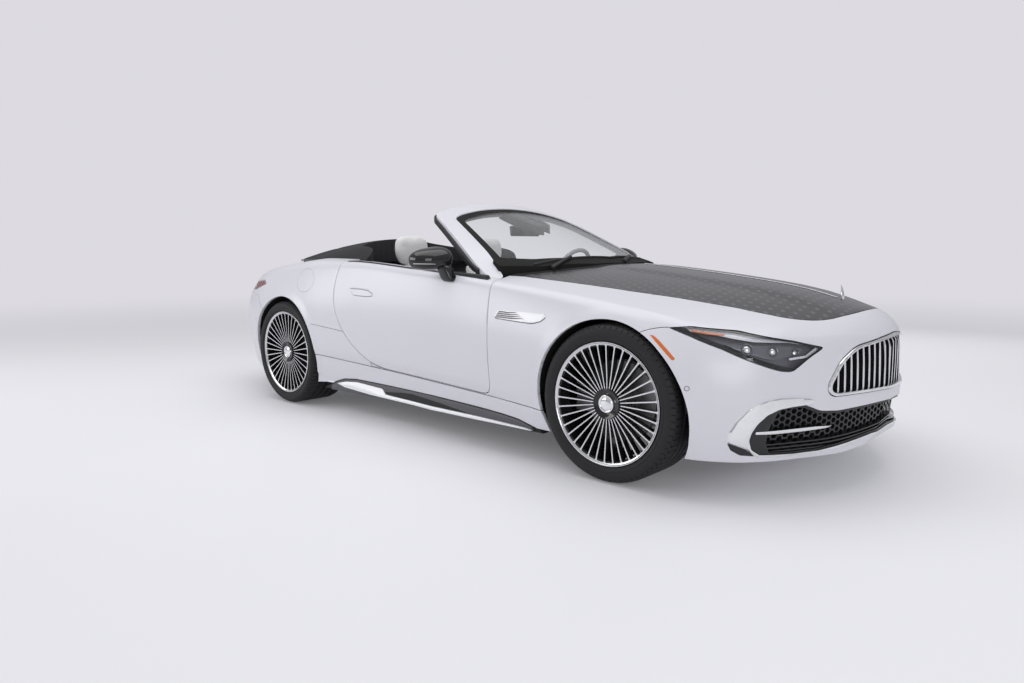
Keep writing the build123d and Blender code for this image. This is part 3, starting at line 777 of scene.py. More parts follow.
panels = {
    "gap": 0.0025,          # half a shut line
    "edgeRound": 0.0016, "thickness": 0.02,
    "bonnet": ((0, 2.236), (0.190, 2.214), (0.350, 2.158), (0.440, 2.104), (0.510, 2.036), (0.562, 1.930),
               (0.63, 1.700), (0.68, 1.420), (0.708, 1.050), (0.722, 0.700), (0.600, 0.785), (0.450, 0.880),
               (0.250, 0.960), (0, 0.990)),
    "boot": ((0.560, -1.432), (0.600, -1.480), (0.540, -1.900), (0.450, -2.200), (0.430, -2.400)),
    "bootBottom": 0.705,
    "door": ((0.676, 0.302), (0.668, 0.600), (0.640, 1.060), (-0.648, 1.060), (-0.690, 0.900), (-0.702, 0.800),
             (-0.680, 0.680), (-0.600, 0.560), (-0.480, 0.450), (-0.340, 0.375), (-0.235, 0.349)),
    "sill": ((-1.200, 0.100), (-1.200, 0.390), (-0.910, 0.378), (-0.235, 0.343), (0.673, 0.296), (1.200, 0.268),
             (1.200, 0.100)),
    "tail": ((-1.500, 0.100), (-1.560, 0.640), (-1.700, 0.745), (-2.500, 0.700), (-2.500, 0.100)),
    "quarterSpan": ((-2.5, 0.30), (-0.2, 0.30), (-0.2, 1.3), (-2.5, 1.3)),
    "headlamp": ((1.688, 0.7265), (1.780, 0.735), (1.939, 0.720), (2.110, 0.678), (2.196, 0.645), (2.163, 0.605),
                 (2.126, 0.551), (2.099, 0.554), (2.021, 0.593), (1.917, 0.644), (1.797, 0.690)),
    "tailLamp": ((-1.600, 0.823), (-1.668, 0.850), (-2.500, 0.815), (-2.500, 0.730), (-1.785, 0.775)),
    "tailLampInner": 0.470,
    "grille": ((0, 0.684), (0.172, 0.667), (0.325, 0.643), (0.416, 0.586), (0.479, 0.492), (0.478, 0.453),
               (0.448, 0.432)),
    "intake": ((0, 0.388), (0.300, 0.378), (0.420, 0.373), (0.505, 0.380), (0.585, 0.414), (0.643, 0.412),
               (0.700, 0.406), (0.751, 0.385), (0.782, 0.348), (0.796, 0.309), (0.797, 0.275), (0.780, 0.234),
               (0.736, 0.205), (0.603, 0.198), (0.487, 0.200), (0.358, 0.217), (0.195, 0.239), (0, 0.246)),
    "cabin": ((0.800, 0.640), (0.800, -0.560), (0.740, -0.620), (0.700, -1.426)),
    "screenFrame": ((0, 0.905), (0.260, 0.850), (0.560, 0.705), (0.732, 0.572), (0.750, 0.625), (0.803, 0.612),
                    (0.815, 0.560), (0.806, 0.440), (0.640, -0.040), (0.560, -0.062), (0.300, -0.092), (0, -0.100)),
    "cowlHole": ((0, 1.000), (0.250, 0.970), (0.450, 0.888), (0.600, 0.806), (0.710, 0.796), (0.727, 0.700),
                 (0.740, 0.640), (0.740, 0.540), (0.690, 0.470)),
    # the nose and both front wings read as one skin, with a short seam from each arch to its lamp
    "seam": ((1.555, 0.688), (1.582, 0.701), (1.612, 0.712), (1.642, 0.7195), (1.670, 0.7235), (1.695, 0.7255),
             (1.695, 0.7285), (1.670, 0.7265), (1.642, 0.7225), (1.612, 0.715), (1.582, 0.704), (1.555, 0.691)),
    "belly": ((-0.5, 0.05), (1.5, 0.05), (1.55, 0.26), (-0.5, 0.26)),
    "quarterSeam": ((-0.93, 0.5775), (-0.898, 0.5765), (-0.55, 0.5475), (-0.55, 0.5505), (-0.898, 0.5795),
                    (-0.93, 0.5805)),
    "flap": (-1.035, 0.862, 0.105, 0.078),
    # the front opening is fuller ahead of the wheel and lower over it: degrees from straight ahead, and metres
    "archFullness": ((-90, 0.0), (-40, 0.030), (-22, 0.031), (0, 0.025), (15, 0.014), (30, 0.001), (45, -0.009),
                     (60, -0.012), (90, -0.007), (125, 0.0), (270, 0.0)),
}
far = 1.3


def planOutline(half):
    # (x, y) points all round from (y, x) pairs of one half
    return [(x, y) for y, x in bothHalves(half)]


def ellipse(across, up, radii, steps):
    # points round an ellipse
    turns = np.linspace(0, 2 * math.pi, steps, endpoint=False)
    return [(across + radii[0] * math.cos(turn), up + radii[1] * math.sin(turn)) for turn in turns]


bonnetLine = rounded(planOutline(panels["bonnet"]), 0.09)
bootLine = rounded(planOutline(panels["boot"]), 0.04)
doorLine = rounded(panels["door"], 0.08)
headlampLine = rounded(panels["headlamp"], 0.014)
tailLampLine = rounded(panels["tailLamp"], 0.02)
grilleLine = rounded(bothHalves(panels["grille"]), 0.04)
intakeLine = rounded(bothHalves(panels["intake"]), 0.012, 3)
flapLine = ellipse(*panels["flap"][:2], panels["flap"][2:], 63)

gap = panels["gap"]
throughX, throughY, throughZ = ("X", -2.6, -2.1), ("Y", -far, far), ("Z", 0.6, far)
tools = {
    "boot": prism(grown(bootLine, -gap), "Z", panels["bootBottom"], far),
    "bootClear": prism(grown(bootLine, gap), "Z", panels["bootBottom"] - 2 * gap, far),
    "sill": prism(grown(panels["sill"], -gap), "Y", -far, -0.74),
    "sillClear": prism(grown(panels["sill"], gap), *throughY),
    "headlampClear": prism(headlampLine, "Y", -far, -0.3),
    "tailLampClear": prism(tailLampLine, "Y", -far, -panels["tailLampInner"] + gap),
    "grille": prism(grilleLine, "X", 1.9, 2.6),
    "intake": prism(intakeLine, "X", 1.7, 2.6),
    "cabin": prism(planOutline(panels["cabin"]), *throughZ),
    "cowlHole": prism(planOutline(panels["cowlHole"]), *throughZ),
    "quarterSpan": prism(panels["quarterSpan"], "Y", -far, -0.38),
    "seam": prism(panels["seam"], *throughY),
    "belly": prism(panels["belly"], *throughY),
}
for name, line, span in (
    ("bonnet", bonnetLine, throughZ), ("door", doorLine, ("Y", -far, -0.4)), ("tail", panels["tail"], throughY),
):
    tools[name] = prism(grown(line, -gap), *span)
    tools[name + "Clear"] = prism(grown(line, gap), *span)
archFullness = np.array(panels["archFullness"])
for place in ("front", "rear"):
    degrees = np.linspace(-90, 270, 144, endpoint=False)
    fuller = smoothCurve(archFullness[:, 0], archFullness[:, 1:], degrees)[:, 0] if place == "front" else 0 * degrees
    circle = [(wheels[place + "X"] + reach * math.cos(math.radians(turn)),
               wheels[place + "Radius"] + reach * math.sin(math.radians(turn)))
              for turn, reach in zip(degrees, wheels["archRadius"] + fuller)]
    tools[place + "Arch"] = prism(circle, *throughY)
for name in ("headlampClear", "tailLampClear", "doorClear"):
    tools[name + "Left"] = mirrorOf(tools[name], name + "Left")
print("cutting tools ready")


def pick(names):
    return [tools[name] for name in names.split()]


def panelPair(name, low, high, keep, remove, body, node):
    right = panel(name + "Right", low, high, keep, remove)
    left = mirrorOf(right, name + "Left")
    for piece, side in ((right, "right"), (left, "left")):
        finishPiece(piece, body.replace("SIDE", side), "bodyPaint", "body_paint", [f"{node}_{side}"])
    return right, left


frontTools = pick("bonnetClear frontArch grille intake headlampClear headlampClearLeft doorClear sillClear cabin "
                  "doorClearLeft cowlHole seam belly")
frontShell = panel("frontShell", (-0.35, -far, 0.1), (2.6, far, 1.2), [], frontTools)
finishPiece(frontShell, "body_shell", "bodyPaint", "body_paint", ["front_bumper", "fender_left", "fender_right"])
rearTrim = {
    "plate": (0.265, 0.462, 0.578),
    "diffuser": ((0, 0.395), (0.470, 0.388), (0.585, 0.372), (0.655, 0.335), (0.700, 0.250), (0.700, 0.100),
                 (0, 0.100)),
    "outlets": (0.44, 0.56), "pipes": (-0.56, -0.44, 0.44, 0.56), "reflector": (0.42, 0.56, 0.425, 0.441),
}


def upright(centre, half, low, high):
    # a rectangle about an upright line
    return [(centre - half, low), (centre + half, low), (centre + half, high), (centre - half, high)]


plateLine = rounded(upright(0, *rearTrim["plate"]), 0.012)
diffuserLine = bothHalves(rearTrim["diffuser"])
rearBumper = panel(
    "rearBumperSkin", (-2.6, -far, 0.1), (-1.45, far, 0.9), pick("tail"),
    pick("bootClear rearArch tailLampClear tailLampClearLeft")
    + [prism(plateLine, *throughX), prism(diffuserLine, *throughX)],
)
finishPiece(rearBumper, "body_shell", "bodyPaint", "body_paint", ["rear_bumper"])
bonnet = panel("bonnetSkin", (0.5, -far, 0.6), (2.6, far, 1.2), pick("bonnet"), [])
finishPiece(bonnet, "bonnet_body", "bonnetPaint", "bonnet_paint", ["bonnet"])
bootLid = panel("bootSkin", (-2.6, -far, 0.6), (-1.2, far, 1.2), pick("boot"), [])
finishPiece(bootLid, "boot_body", "bodyPaint", "body_paint", ["boot_lid"])
quarters = panelPair(
    "quarterSkin", (-2.45, -far, 0.25), (-0.15, -0.35, 1.15), pick("quarterSpan"),
    pick("tailClear bootClear rearArch doorClear sillClear tailLampClear cabin"), "body_shell", "quarter",
)
sillTrim = {
    "shadow": ((-1.3, 0.05), (-0.90, 0.14), (-0.766, 0.207), (-0.66, 0.238), (-0.532, 0.249), (-0.271, 0.245),
               (0.184, 0.235), (0.545, 0.222), (0.750, 0.212), (0.847, 0.204), (0.966, 0.178), (1.02, 0.05)),
    "insert": ((-0.80, 0.178), (-0.748, 0.205), (-0.66, 0.232), (-0.532, 0.243), (-0.271, 0.239), (0.184, 0.229),
               (0.545, 0.216), (0.750, 0.206), (0.847, 0.198), (0.940, 0.175), (0.940, 0.150), (-0.80, 0.150)),
    "strip": ((-0.720, 0.203), (-0.640, 0.219), (-0.533, 0.227), (-0.400, 0.229), (-0.316, 0.226), (-0.275, 0.212),
              (-0.243, 0.184), (0.182, 0.171), (0.545, 0.171), (0.897, 0.167), (0.950, 0.161), (0.545, 0.155),
              (0.182, 0.153), (-0.379, 0.168), (-0.640, 0.184)),
    "stripFoot": ((-0.72, -0.64, -0.379, 0.182, 0.545, 0.950), (0.203, 0.184, 0.168, 0.153, 0.155, 0.161)),
    "ends": (-0.93, 1.005), "lowest": 0.150, "stripLean": 0.30,
}
panelPair("sillSkin", (-1.25, -far, 0.1), (1.25, -0.7, 0.45), pick("sill"),
          pick("frontArch rearArch") + [prism(sillTrim["shadow"], "Y", -far, -0.72)], "body_shell", "sill")
doorHandle = ((-0.535, 0.824), (-0.420, 0.823), (-0.344, 0.815), (-0.305, 0.793), (-0.310, 0.779), (-0.413, 0.778),
              (-0.497, 0.783))
handleLine = rounded(doorHandle, 0.012)
panelPair("doorSkin", (-0.8, -far, 0.25), (0.75, -0.80, 1.1), pick("door"),
          [prism(handleLine, "Y", -far, -0.6)], "door_SIDE_body", "door")
for quarter in quarters:
    cut(quarter, prism(panels["quarterSeam"], *throughY), "DIFFERENCE")
cut(quarters[0], prism(flapLine, "Y", -far, -0.6), "DIFFERENCE")
print("panels cut")


def sheetOf(name, points):
    # a surface through rows of points
    deselectAll()
    rows, columns = points.shape[:2]
    bpy.ops.mesh.primitive_grid_add(x_subdivisions=columns - 1, y_subdivisions=rows - 1, size=1)
    obj = bpy.context.object
    obj.name = name
    setPlace(obj, points.reshape(-1, 3))
    tidyNormals(obj)
    return obj


def turned(name, profile, centre, steps):
    # a closed profile of (radius, y) pairs spun about an upright wheel's axis through centre (x, z)
    deselectAll()
    bpy.ops.mesh.primitive_circle_add(vertices=len(profile), radius=1, fill_type="NOTHING")
    obj = bpy.context.object
    obj.name = name
    setPlace(obj, [(centre[0], along, centre[1] + radius) for radius, along in profile])
    bpy.ops.object.mode_set(mode="EDIT")
    bpy.ops.mesh.select_all(action="SELECT")
    bpy.ops.mesh.spin(steps=steps, angle=2 * math.pi, center=(centre[0], 0, centre[1]), axis=(0, 1, 0))
    bpy.ops.object.mode_set(mode="OBJECT")
    tidyNormals(obj)
    return obj


def box(name, low, high, edge=0.0, segments=2):
    # a block between two corners, its edges rounded
    deselectAll()
    bpy.ops.mesh.primitive_cube_add(size=1)
    obj = bpy.context.object
    obj.name = name
    low, high = np.array(low, float), np.array(high, float)
    setPlace(obj, placeOf(obj) * (high - low) + (low + high) / 2)
    if edge:
        modify(obj, "BEVEL", width=edge, segments=segments, limit_method="NONE")
    return obj


def ball(name, centre, radii, segments=40, rings=24):
    deselectAll()
    bpy.ops.mesh.primitive_uv_sphere_add(segments=segments, ring_count=rings, radius=1)
    obj = bpy.context.object
    obj.name = name
    setPlace(obj, placeOf(obj) * radii + np.array(centre))
    return obj


def ringOf(name, major, minor, around, section):
    # a round ring lying flat at the origin
    deselectAll()
    bpy.ops.mesh.primitive_torus_add(major_segments=around, minor_segments=section, major_radius=major,
                                     minor_radius=minor)
    bpy.context.object.name = name
    return bpy.context.object


def lean(obj, degrees, axis, centre):
    # turn a piece's points about an axis through a point
    turn = Matrix.Rotation(math.radians(degrees), 3, axis)
    setPlace(obj, (placeOf(obj) - centre) @ np.array(turn).T + centre)


def joined(name, parts):
    activate(parts[0])
    for part in parts[1:]:
        part.select_set(True)
    bpy.ops.object.join()
    parts[0].name = name
    return parts[0]


def sunk(obj, depth):
    # every point moved inwards along its normal
    activate(obj)
    bpy.ops.object.mode_set(mode="EDIT")
    bpy.ops.mesh.select_all(action="SELECT")
    bpy.ops.transform.shrink_fatten(value=-depth)
    bpy.ops.object.mode_set(mode="OBJECT")


def pair(right, body, finish, slot, node=None, angle=35):
    # finish a right-hand piece and make its left-hand twin; SIDE in a name stands for the side
    left = mirrorOf(right, right.name + "Left")
    right.name += "Right"
    for piece, side in ((right, "right"), (left, "left")):
        replaced = [node.replace("SIDE", side)] if node else []
        finishPiece(piece, body.replace("SIDE", side), finish, slot, replaced, angle)
    return right, left


def follow(name, zone, sink, thickness, keep, remove=(), edge=0.0):
    # a band at a depth below the skin, inside some outlines and outside others
    low, high, facing = zone
    keep, remove = ([tool if isinstance(tool, bpy.types.Object) else prism(tool, *facing) for tool in group]
                    for group in (keep, remove))
    band = copyOf(skinSource, name)
    crop(band, low, high)
    if sink:
        sunk(band, sink)
    modify(band, "SOLIDIFY", thickness=thickness, offset=-1)
    shaped(band, keep, remove)
    if edge:
        roundEdges(band, edge)
    return band


def dress(name, zone, sink, thickness, keep, finish, slot, node=None, remove=(), edge=0.0, body="body_shell",
          both=True):
    # such a band with its finish; both gives it a left-hand twin
    band = follow(name, zone, sink, thickness, keep, remove, edge)
    if both:
        return pair(band, body, finish, slot, node)
    return finishPiece(band, body, finish, slot, [node] if node else ())


# Wheels
wheelShape = {
    "barrel": 0.2700, "spokeDepth": 0.034, "spokeHalf": 0.0027, "spokes": 36, "slotRound": 0.013, "hub": 0.071,
    "tread": 72, "grooves": (-0.62, -0.2, 0.2, 0.62), "frontWidth": 0.270, "rearWidth": 0.300,
    # radius, and distance behind the wheel's face
    "wall": ((0.264, 0.024), (0.276, 0.017), (0.2845, 0.009), (0.290, -0.002), (0.297, -0.007), (0.304, -0.0085),
             (0.306, -0.0065), (0.314, -0.0075), (0.323, -0.0085), (0.332, -0.0075)),
    # the same, with the radius counted in from the tread
    "shoulder": ((0.022, -0.004), (0.015, 0.001), (0.009, 0.008), (0.005, 0.015), (0.002, 0.026)),
}
faceY = -wheels["faceY"]


def makeTyre(name, centreX, radius, width):
    middle = faceY + width / 2
    half = width / 2 - 0.030
    profile = [(r, faceY + y) for r, y in wheelShape["wall"]]
    profile += [(radius - r, faceY + y) for r, y in wheelShape["shoulder"]]
    tread = [(radius - 0.0006, middle - half)]
    for share in wheelShape["grooves"]:
        at = middle + share * half
        for step, drop in ((-0.0065, 0), (-0.005, 0.0065), (0.005, 0.0065), (0.0065, 0)):
            tread.append((radius - drop, at + step))
    tread.append((radius - 0.0006, middle + half))
    flank = [(r, 2 * middle - y) for r, y in reversed(profile)]
    profile = np.array(profile + tread + flank)
    pitch = 2 * math.pi / wheelShape["tread"]
    steps = np.array([0.0, 0.06, 0.14, 0.20])
    angles = np.concatenate([(k + steps) * pitch for k in range(wheelShape["tread"])] + [[2 * math.pi]])
    cutHere = np.concatenate([[0, 1, 1, 0] * wheelShape["tread"], [0]])
    across = profile[:, 1] - middle
    r = np.repeat(profile[:, 0][None], len(angles), axis=0)
    onShoulder = (np.abs(across) > half * 0.78) & (profile[:, 0] > radius - 0.016)
    r -= cutHere[:, None] * onShoulder[None] * 0.005
    turn = angles[:, None] + np.where(np.abs(across) < half * 1.2, across, 0)[None] * 0.5
    points = np.stack([centreX + r * np.cos(turn), np.repeat(profile[:, 1][None], len(angles), axis=0),
                       radius + r * np.sin(turn)], axis=-1)
    return sheetOf(name, points)


def makeSpokes(name, centreX, centreZ):
    # one spoke as a strip from hub to rim, flaring where the slots' corners are rounded, then copied round
    start, end = wheelShape["hub"] - 0.006, wheelShape["barrel"] + 0.002
    slope = math.radians(180 / wheelShape["spokes"])
    slot = wheelShape["slotRound"]
    reach = np.concatenate([[start], np.linspace(start + 0.004, end - slot, 14),
                            end - slot * (1 - np.sin(np.linspace(0.2, math.pi / 2, 8)))])
    share = np.clip((reach - (end - slot)) / slot, 0, 1)
    half = wheelShape["spokeHalf"] * (0.8 + 0.45 * (reach - start) / (end - start))
    half = np.minimum(half + slot * (1 - np.sqrt(1 - share**2)), reach * math.tan(slope))
    depth = faceY + 0.006 + 0.012 * np.cos(np.clip((reach - start) / (end - start), 0, 1) * math.pi / 2) ** 1.5
    across = np.array([-1, -0.5, 0, 0.5, 1])
    front = np.stack([centreX + half[:, None] * across, np.repeat(depth[:, None], 5, axis=1),
                      np.repeat(centreZ + reach[:, None], 5, axis=1)], axis=-1)
    first = sheetOf(name, front)
    modify(first, "SOLIDIFY", thickness=wheelShape["spokeDepth"],
           offset=1 if first.data.polygons[0].normal.y > 0 else -1)
    points = placeOf(first)
    back = points[:, 1] > faceY + 0.02
    points[back, 0] = centreX + (points[back, 0] - centreX) * 0.7
    setPlace(first, points)
    parts = [first]
    for k in range(1, wheelShape["spokes"]):
        angle = 2 * math.pi * k / wheelShape["spokes"]
        x, z = points[:, 0] - centreX, points[:, 2] - centreZ
        twin = copyOf(first, f"{name}{k}")
        setPlace(twin, np.stack([centreX + x * math.cos(angle) + z * math.sin(angle), points[:, 1],
                                 centreZ - x * math.sin(angle) + z * math.cos(angle)], axis=1))
        parts.append(twin)
    whole = joined(name, parts)
    tidyNormals(whole, merge=0)
    return whole


def turnedParts(back):
    # name, finish, slot, steps round, and a profile of radius and distance behind the wheel's face
    return (
        ("barrel", "blackGloss", "wheel_alloy", 96, (
            (0.2695, 0.012), (0.2700, 0.03), (0.2660, back - 0.02), (0.281, back - 0.004), (0.281, back),
            (0.276, back), (0.256, back - 0.02), (0.2585, 0.05), (0.2630, 0.012))),
        ("lip", "alloyBright", "wheel_alloy", 128, (
            (0.270, 0.018), (0.2835, 0.0085), (0.2838, 0.002), (0.282, -0.0005), (0.2785, -0.0006),
            (0.2765, 0.0018), (0.2730, 0.0035), (0.2690, 0.0055), (0.2680, 0.008), (0.2680, 0.018))),
        ("hub", "blackGloss", "wheel_alloy", 96, (
            (0.0001, 0.02), (0.0001, 0.12), (0.07, 0.12), (0.071, 0.024), (0.070, 0.012), (0.067, 0.0095),
            (0.058, 0.0125), (0.048, 0.018), (0.043, 0.02))),
        ("cap", "chrome", "wheel_alloy", 64, (
            (0.0001, 0.0075), (0.012, 0.0078), (0.022, 0.0092), (0.029, 0.0115), (0.031, 0.0135), (0.033, 0.0115),
            (0.036, 0.0105), (0.0395, 0.0115), (0.0415, 0.015), (0.0415, 0.03), (0.0001, 0.03))),
        ("disc", "discSteel", "cast_metal", 96, (
            (0.0001, 0.120), (0.085, 0.120), (0.09, 0.133), (0.186, 0.133), (0.188, 0.136), (0.188, 0.144),
            (0.182, 0.146), (0.182, 0.152), (0.188, 0.154), (0.188, 0.162), (0.186, 0.165), (0.08, 0.165),
            (0.07, 0.145), (0.0001, 0.145))),
    )


for place in ("front", "rear"):
    centreX, radius, width = wheels[place + "X"], wheels[place + "Radius"], wheelShape[place + "Width"]
    body, node, title = f"wheel_{place}_SIDE_body", f"wheel_{place}_SIDE", place.title()
    tyre = makeTyre("tyre" + title, centreX, radius, width)
    pair(tyre, body, "tyreRubber", "tyre_rubber", f"tyre_{place}_SIDE", 40)
    pair(makeSpokes("spokes" + title, centreX, radius), body, "alloyBlack", "wheel_alloy", node)
    for name, finish, slot, steps, profile in turnedParts(width - 0.02):
        part = turned(name + title, [(r, faceY + y) for r, y in profile], (centreX, radius), steps)
        pair(part, body, finish, slot, node)
print("wheels built")

# Nose: headlamps, grille and intake
noseTrim = {
    "lampStrip": ((1.745, 0.7325), (1.780, 0.712), (1.867, 0.702), (1.940, 0.686), (2.000, 0.674), (2.092, 0.668),
                  (2.172, 0.647), (2.168, 0.658), (2.110, 0.672), (1.939, 0.713), (1.780, 0.729)),
    "lampGlow": ((1.775, 0.7205), (1.860, 0.7095), (1.905, 0.703), (1.900, 0.6985), (1.850, 0.703), (1.790, 0.712)),
    "lampGuide": ((2.172, 0.650), (2.181, 0.643), (2.150, 0.604), (2.108, 0.598), (2.106, 0.606), (2.146, 0.613)),
    "lampHousing": ((1.90, 0.668), (2.00, 0.660), (2.09, 0.652), (2.135, 0.640), (2.118, 0.618), (2.060, 0.598),
                    (1.960, 0.640)),
    "lenses": ((-0.775, 0.652, 0.021), (-0.690, 0.640, 0.019), (-0.600, 0.628, 0.015)),     # across, up, radius
    "cTrim": ((0.844, 0.266), (0.848, 0.309), (0.838, 0.355), (0.808, 0.407), (0.764, 0.437), (0.702, 0.448),
              (0.628, 0.445), (0.569, 0.437), (0.538, 0.424), (0.585, 0.412), (0.643, 0.409), (0.700, 0.403),
              (0.749, 0.382), (0.779, 0.346), (0.792, 0.309), (0.793, 0.275), (0.776, 0.234), (0.734, 0.203),
              (0.752, 0.203), (0.786, 0.238), (0.815, 0.252)),
    "cheek": ((0.655, 0.425), (0.820, 0.400), (0.820, 0.190), (0.665, 0.190), (0.700, 0.215), (0.722, 0.255),
              (0.727, 0.300), (0.717, 0.345), (0.695, 0.385)),
    "lip": ((0, 0.250), (0.195, 0.243), (0.358, 0.221), (0.487, 0.2045), (0.603, 0.202), (0.738, 0.208),
            (0.742, 0.199), (0.603, 0.192), (0.487, 0.194), (0.358, 0.210), (0.195, 0.232), (0, 0.239)),
    "corner": ((0.843, 0.264), (0.815, 0.250), (0.788, 0.236), (0.769, 0.220), (0.752, 0.2035), (0.797, 0.209),
               (0.826, 0.231)),
    "bar": ((0.768, 0.300), (0.700, 0.2975), (0.570, 0.298), (0.470, 0.302), (0.440, 0.309), (0.520, 0.313),
            (0.640, 0.312), (0.768, 0.311)),
    "blades": 25, "bladePitch": 0.0375, "bladeHalf": 0.0034,
    "cell": 0.0165, "cellWall": 0.0042, "slats": ((0.212, 0.220), (0.229, 0.236), (0.246, 0.252)),
}


def right(outline):
    # the same (y, z) outline on the right-hand side
    return [(-a, b) for a, b in outline]


sideTool = ("Y", -far, -0.3)
lampZone = ((1.6, -far, 0.45), (2.3, -0.3, 0.8), sideTool)
lampLine = inset(panels["headlamp"], gap * 1.4, 0.012)
lampBowl = follow("lampBowl", lampZone, 0.033, 0.004, [lampLine])
lampWall = follow("lampWall", lampZone, 0.006, 0.030, [lampLine], [inset(panels["headlamp"], 0.009, 0.010)])
pair(lampBowl, "body_shell", "graphite", "black_trim", "headlamp_SIDE")
pair(lampWall, "body_shell", "blackGloss", "black_trim", "headlamp_SIDE")
dress("lampRim", lampZone, 0.0022, 0.0045, [lampLine], "blackGloss", "black_trim", "headlamp_SIDE",
      [inset(panels["headlamp"], 0.0080, 0.010)])
for name, sink, thickness, outline, edge, finish, slot in (
    ("lampStrip", 0.012, 0.006, rounded(noseTrim["lampStrip"], 0.006), 0.002, "lampWhite", "bright_trim"),
    ("lampGuide", 0.010, 0.008, rounded(noseTrim["lampGuide"], 0.002), 0.001, "lampWhite", "lamp_clear"),
    ("lampGlow", 0.009, 0.005, rounded(noseTrim["lampGlow"], 0.003), 0, "lampAmber", "lamp_clear"),
    ("lampMask", 0.022, 0.006, rounded(noseTrim["lampHousing"], 0.012), 0.002, "graphite", "black_trim"),
    ("lampCover", 0.0018, 0.0022, inset(panels["headlamp"], gap * 1.2, 0.012), 0, "lampCover", "lamp_clear"),
):
    dress(name, lampZone, sink, thickness, [outline], finish, slot, "headlamp_SIDE", edge=edge)
skinTree = BVHTree.FromObject(skinSource, bpy.context.evaluated_depsgraph_get())
for number, (y, z, size) in enumerate(noseTrim["lenses"]):
    # each lens sits behind the point where the skin is met from straight ahead
    hit, facing, index, distance = skinTree.ray_cast(Vector((3.5, y, z)), Vector((-1, 0, 0)))
    lens = ball(f"lampLens{number}", hit - facing * 0.034, (size, size, size), 24, 16)
    pair(lens, "body_shell", "chrome", "black_trim", "headlamp_SIDE")
    ring = ringOf(f"lampRing{number}", size * 1.08, 0.002, 32, 8)
    turn = np.array(facing.to_track_quat("Z", "Y").to_matrix())
    setPlace(ring, placeOf(ring) @ turn.T + np.array(hit - facing * 0.019))
    pair(ring, "body_shell", "darkChrome", "bright_trim", "headlamp_SIDE")
print("headlamps built")

frontTool = ("X", 1.7, 2.6)
noseZone = ((1.6, -far, 0.12), (2.6, far, 0.9), frontTool)


def noseBand(name, sink, thickness, keep, finish, slot, node=None, remove=(), edge=0.0):
    dress(name, noseZone, sink, thickness, keep, finish, slot, node, remove, edge, both=False)


noseBand("grilleFrame", -0.005, 0.03, [grown(grilleLine, -0.0045)], "chrome", "bright_trim", "upper_grille",
         [grown(grilleLine, -0.0165)], 0.003)
noseBand("grilleShadow", 0.004, 0.05, [grown(grilleLine, -0.001)], "blackGloss", "black_trim", "upper_grille",
         [grown(grilleLine, -0.012)])
middle = noseTrim["blades"] // 2
blades = [prism(upright((k - middle) * noseTrim["bladePitch"], noseTrim["bladeHalf"], 0.3, 0.8), *frontTool)
          for k in range(noseTrim["blades"])]
bladeTools = [prism(grown(grilleLine, -0.015), *frontTool), joined("bladeTool", blades)]
noseBand("grilleFins", 0.0125, 0.024, bladeTools, "blackGloss", "black_trim", "upper_grille")
noseBand("grilleBlades", 0.008, 0.005, bladeTools, "chrome", "bright_trim", "upper_grille", edge=0.0012)
noseBand("grilleBack", 0.045, 0.004, [grown(grilleLine, -0.003)], "darkInner", "black_trim", "upper_grille")
print("grille built")

# the intake: a pierced plate behind a gloss surround
size = noseTrim["cell"]
reach = size - noseTrim["cellWall"]
cells = [prism(ellipse(0, 0, (reach, reach), 6), *frontTool)]
start = placeOf(cells[0])
for column in range(-34, 35):
    for row in range(9):
        z = 0.21 + (row + 0.5 * (column % 2)) * size * math.sqrt(3)
        if z < 0.42:
            twin = copyOf(cells[0], "cell")
            setPlace(twin, start + (0, column * size * 1.5, z))
            cells.append(twin)
innerIntake = grown(intakeLine, -0.004)
noseBand("intakeMesh", 0.028, 0.012, [innerIntake], "blackGloss", "black_trim", "lower_grille",
         [joined("cellTool", cells)])
noseBand("intakeBack", 0.055, 0.004, [innerIntake], "darkInner", "black_trim", "lower_grille")
noseBand("intakeSurround", 0.005, 0.052, [grown(intakeLine, -0.001)], "blackGloss", "black_trim", "lower_grille",
         [grown(intakeLine, -0.012)])
slats = []
for low, high in noseTrim["slats"]:
    lift = [(y, 0.045 * (1 - min(abs(y) / 0.5, 1)) ** 1.5) for y in np.linspace(-0.76, 0.76, 25)]
    slats.append(prism([(y, low + up) for y, up in lift] + [(y, high + up) for y, up in reversed(lift)], *frontTool))
noseBand("intakeSlats", 0.010, 0.03, [grown(intakeLine, -0.006), joined("slatTool", slats)], "blackGloss",
         "black_trim", "lower_grille")
cheekZone = ((1.6, -far, 0.12), (2.6, -0.2, 0.6), frontTool)
dress("intakeCheek", cheekZone, 0.004, 0.03, [right(noseTrim["cheek"]), grown(intakeLine, -0.002)], "blackGloss",
      "black_trim", "lower_grille", edge=0.002)
dress("intakeTrim", cheekZone, -0.006, 0.018, [rounded(right(noseTrim["cTrim"]), 0.01)], "chrome", "bright_trim",
      edge=0.003)
dress("intakeBar", cheekZone, 0.001, 0.02, [right(noseTrim["bar"])], "chrome", "bright_trim", edge=0.002)
dress("intakeCorner", cheekZone, -0.0012, 0.012, [rounded(right(noseTrim["corner"]), 0.006)], "blackGloss",
      "black_trim")
noseBand("noseLip", -0.003, 0.016, [bothHalves(noseTrim["lip"])], "chrome", "bright_trim", edge=0.002)
print("intake built")

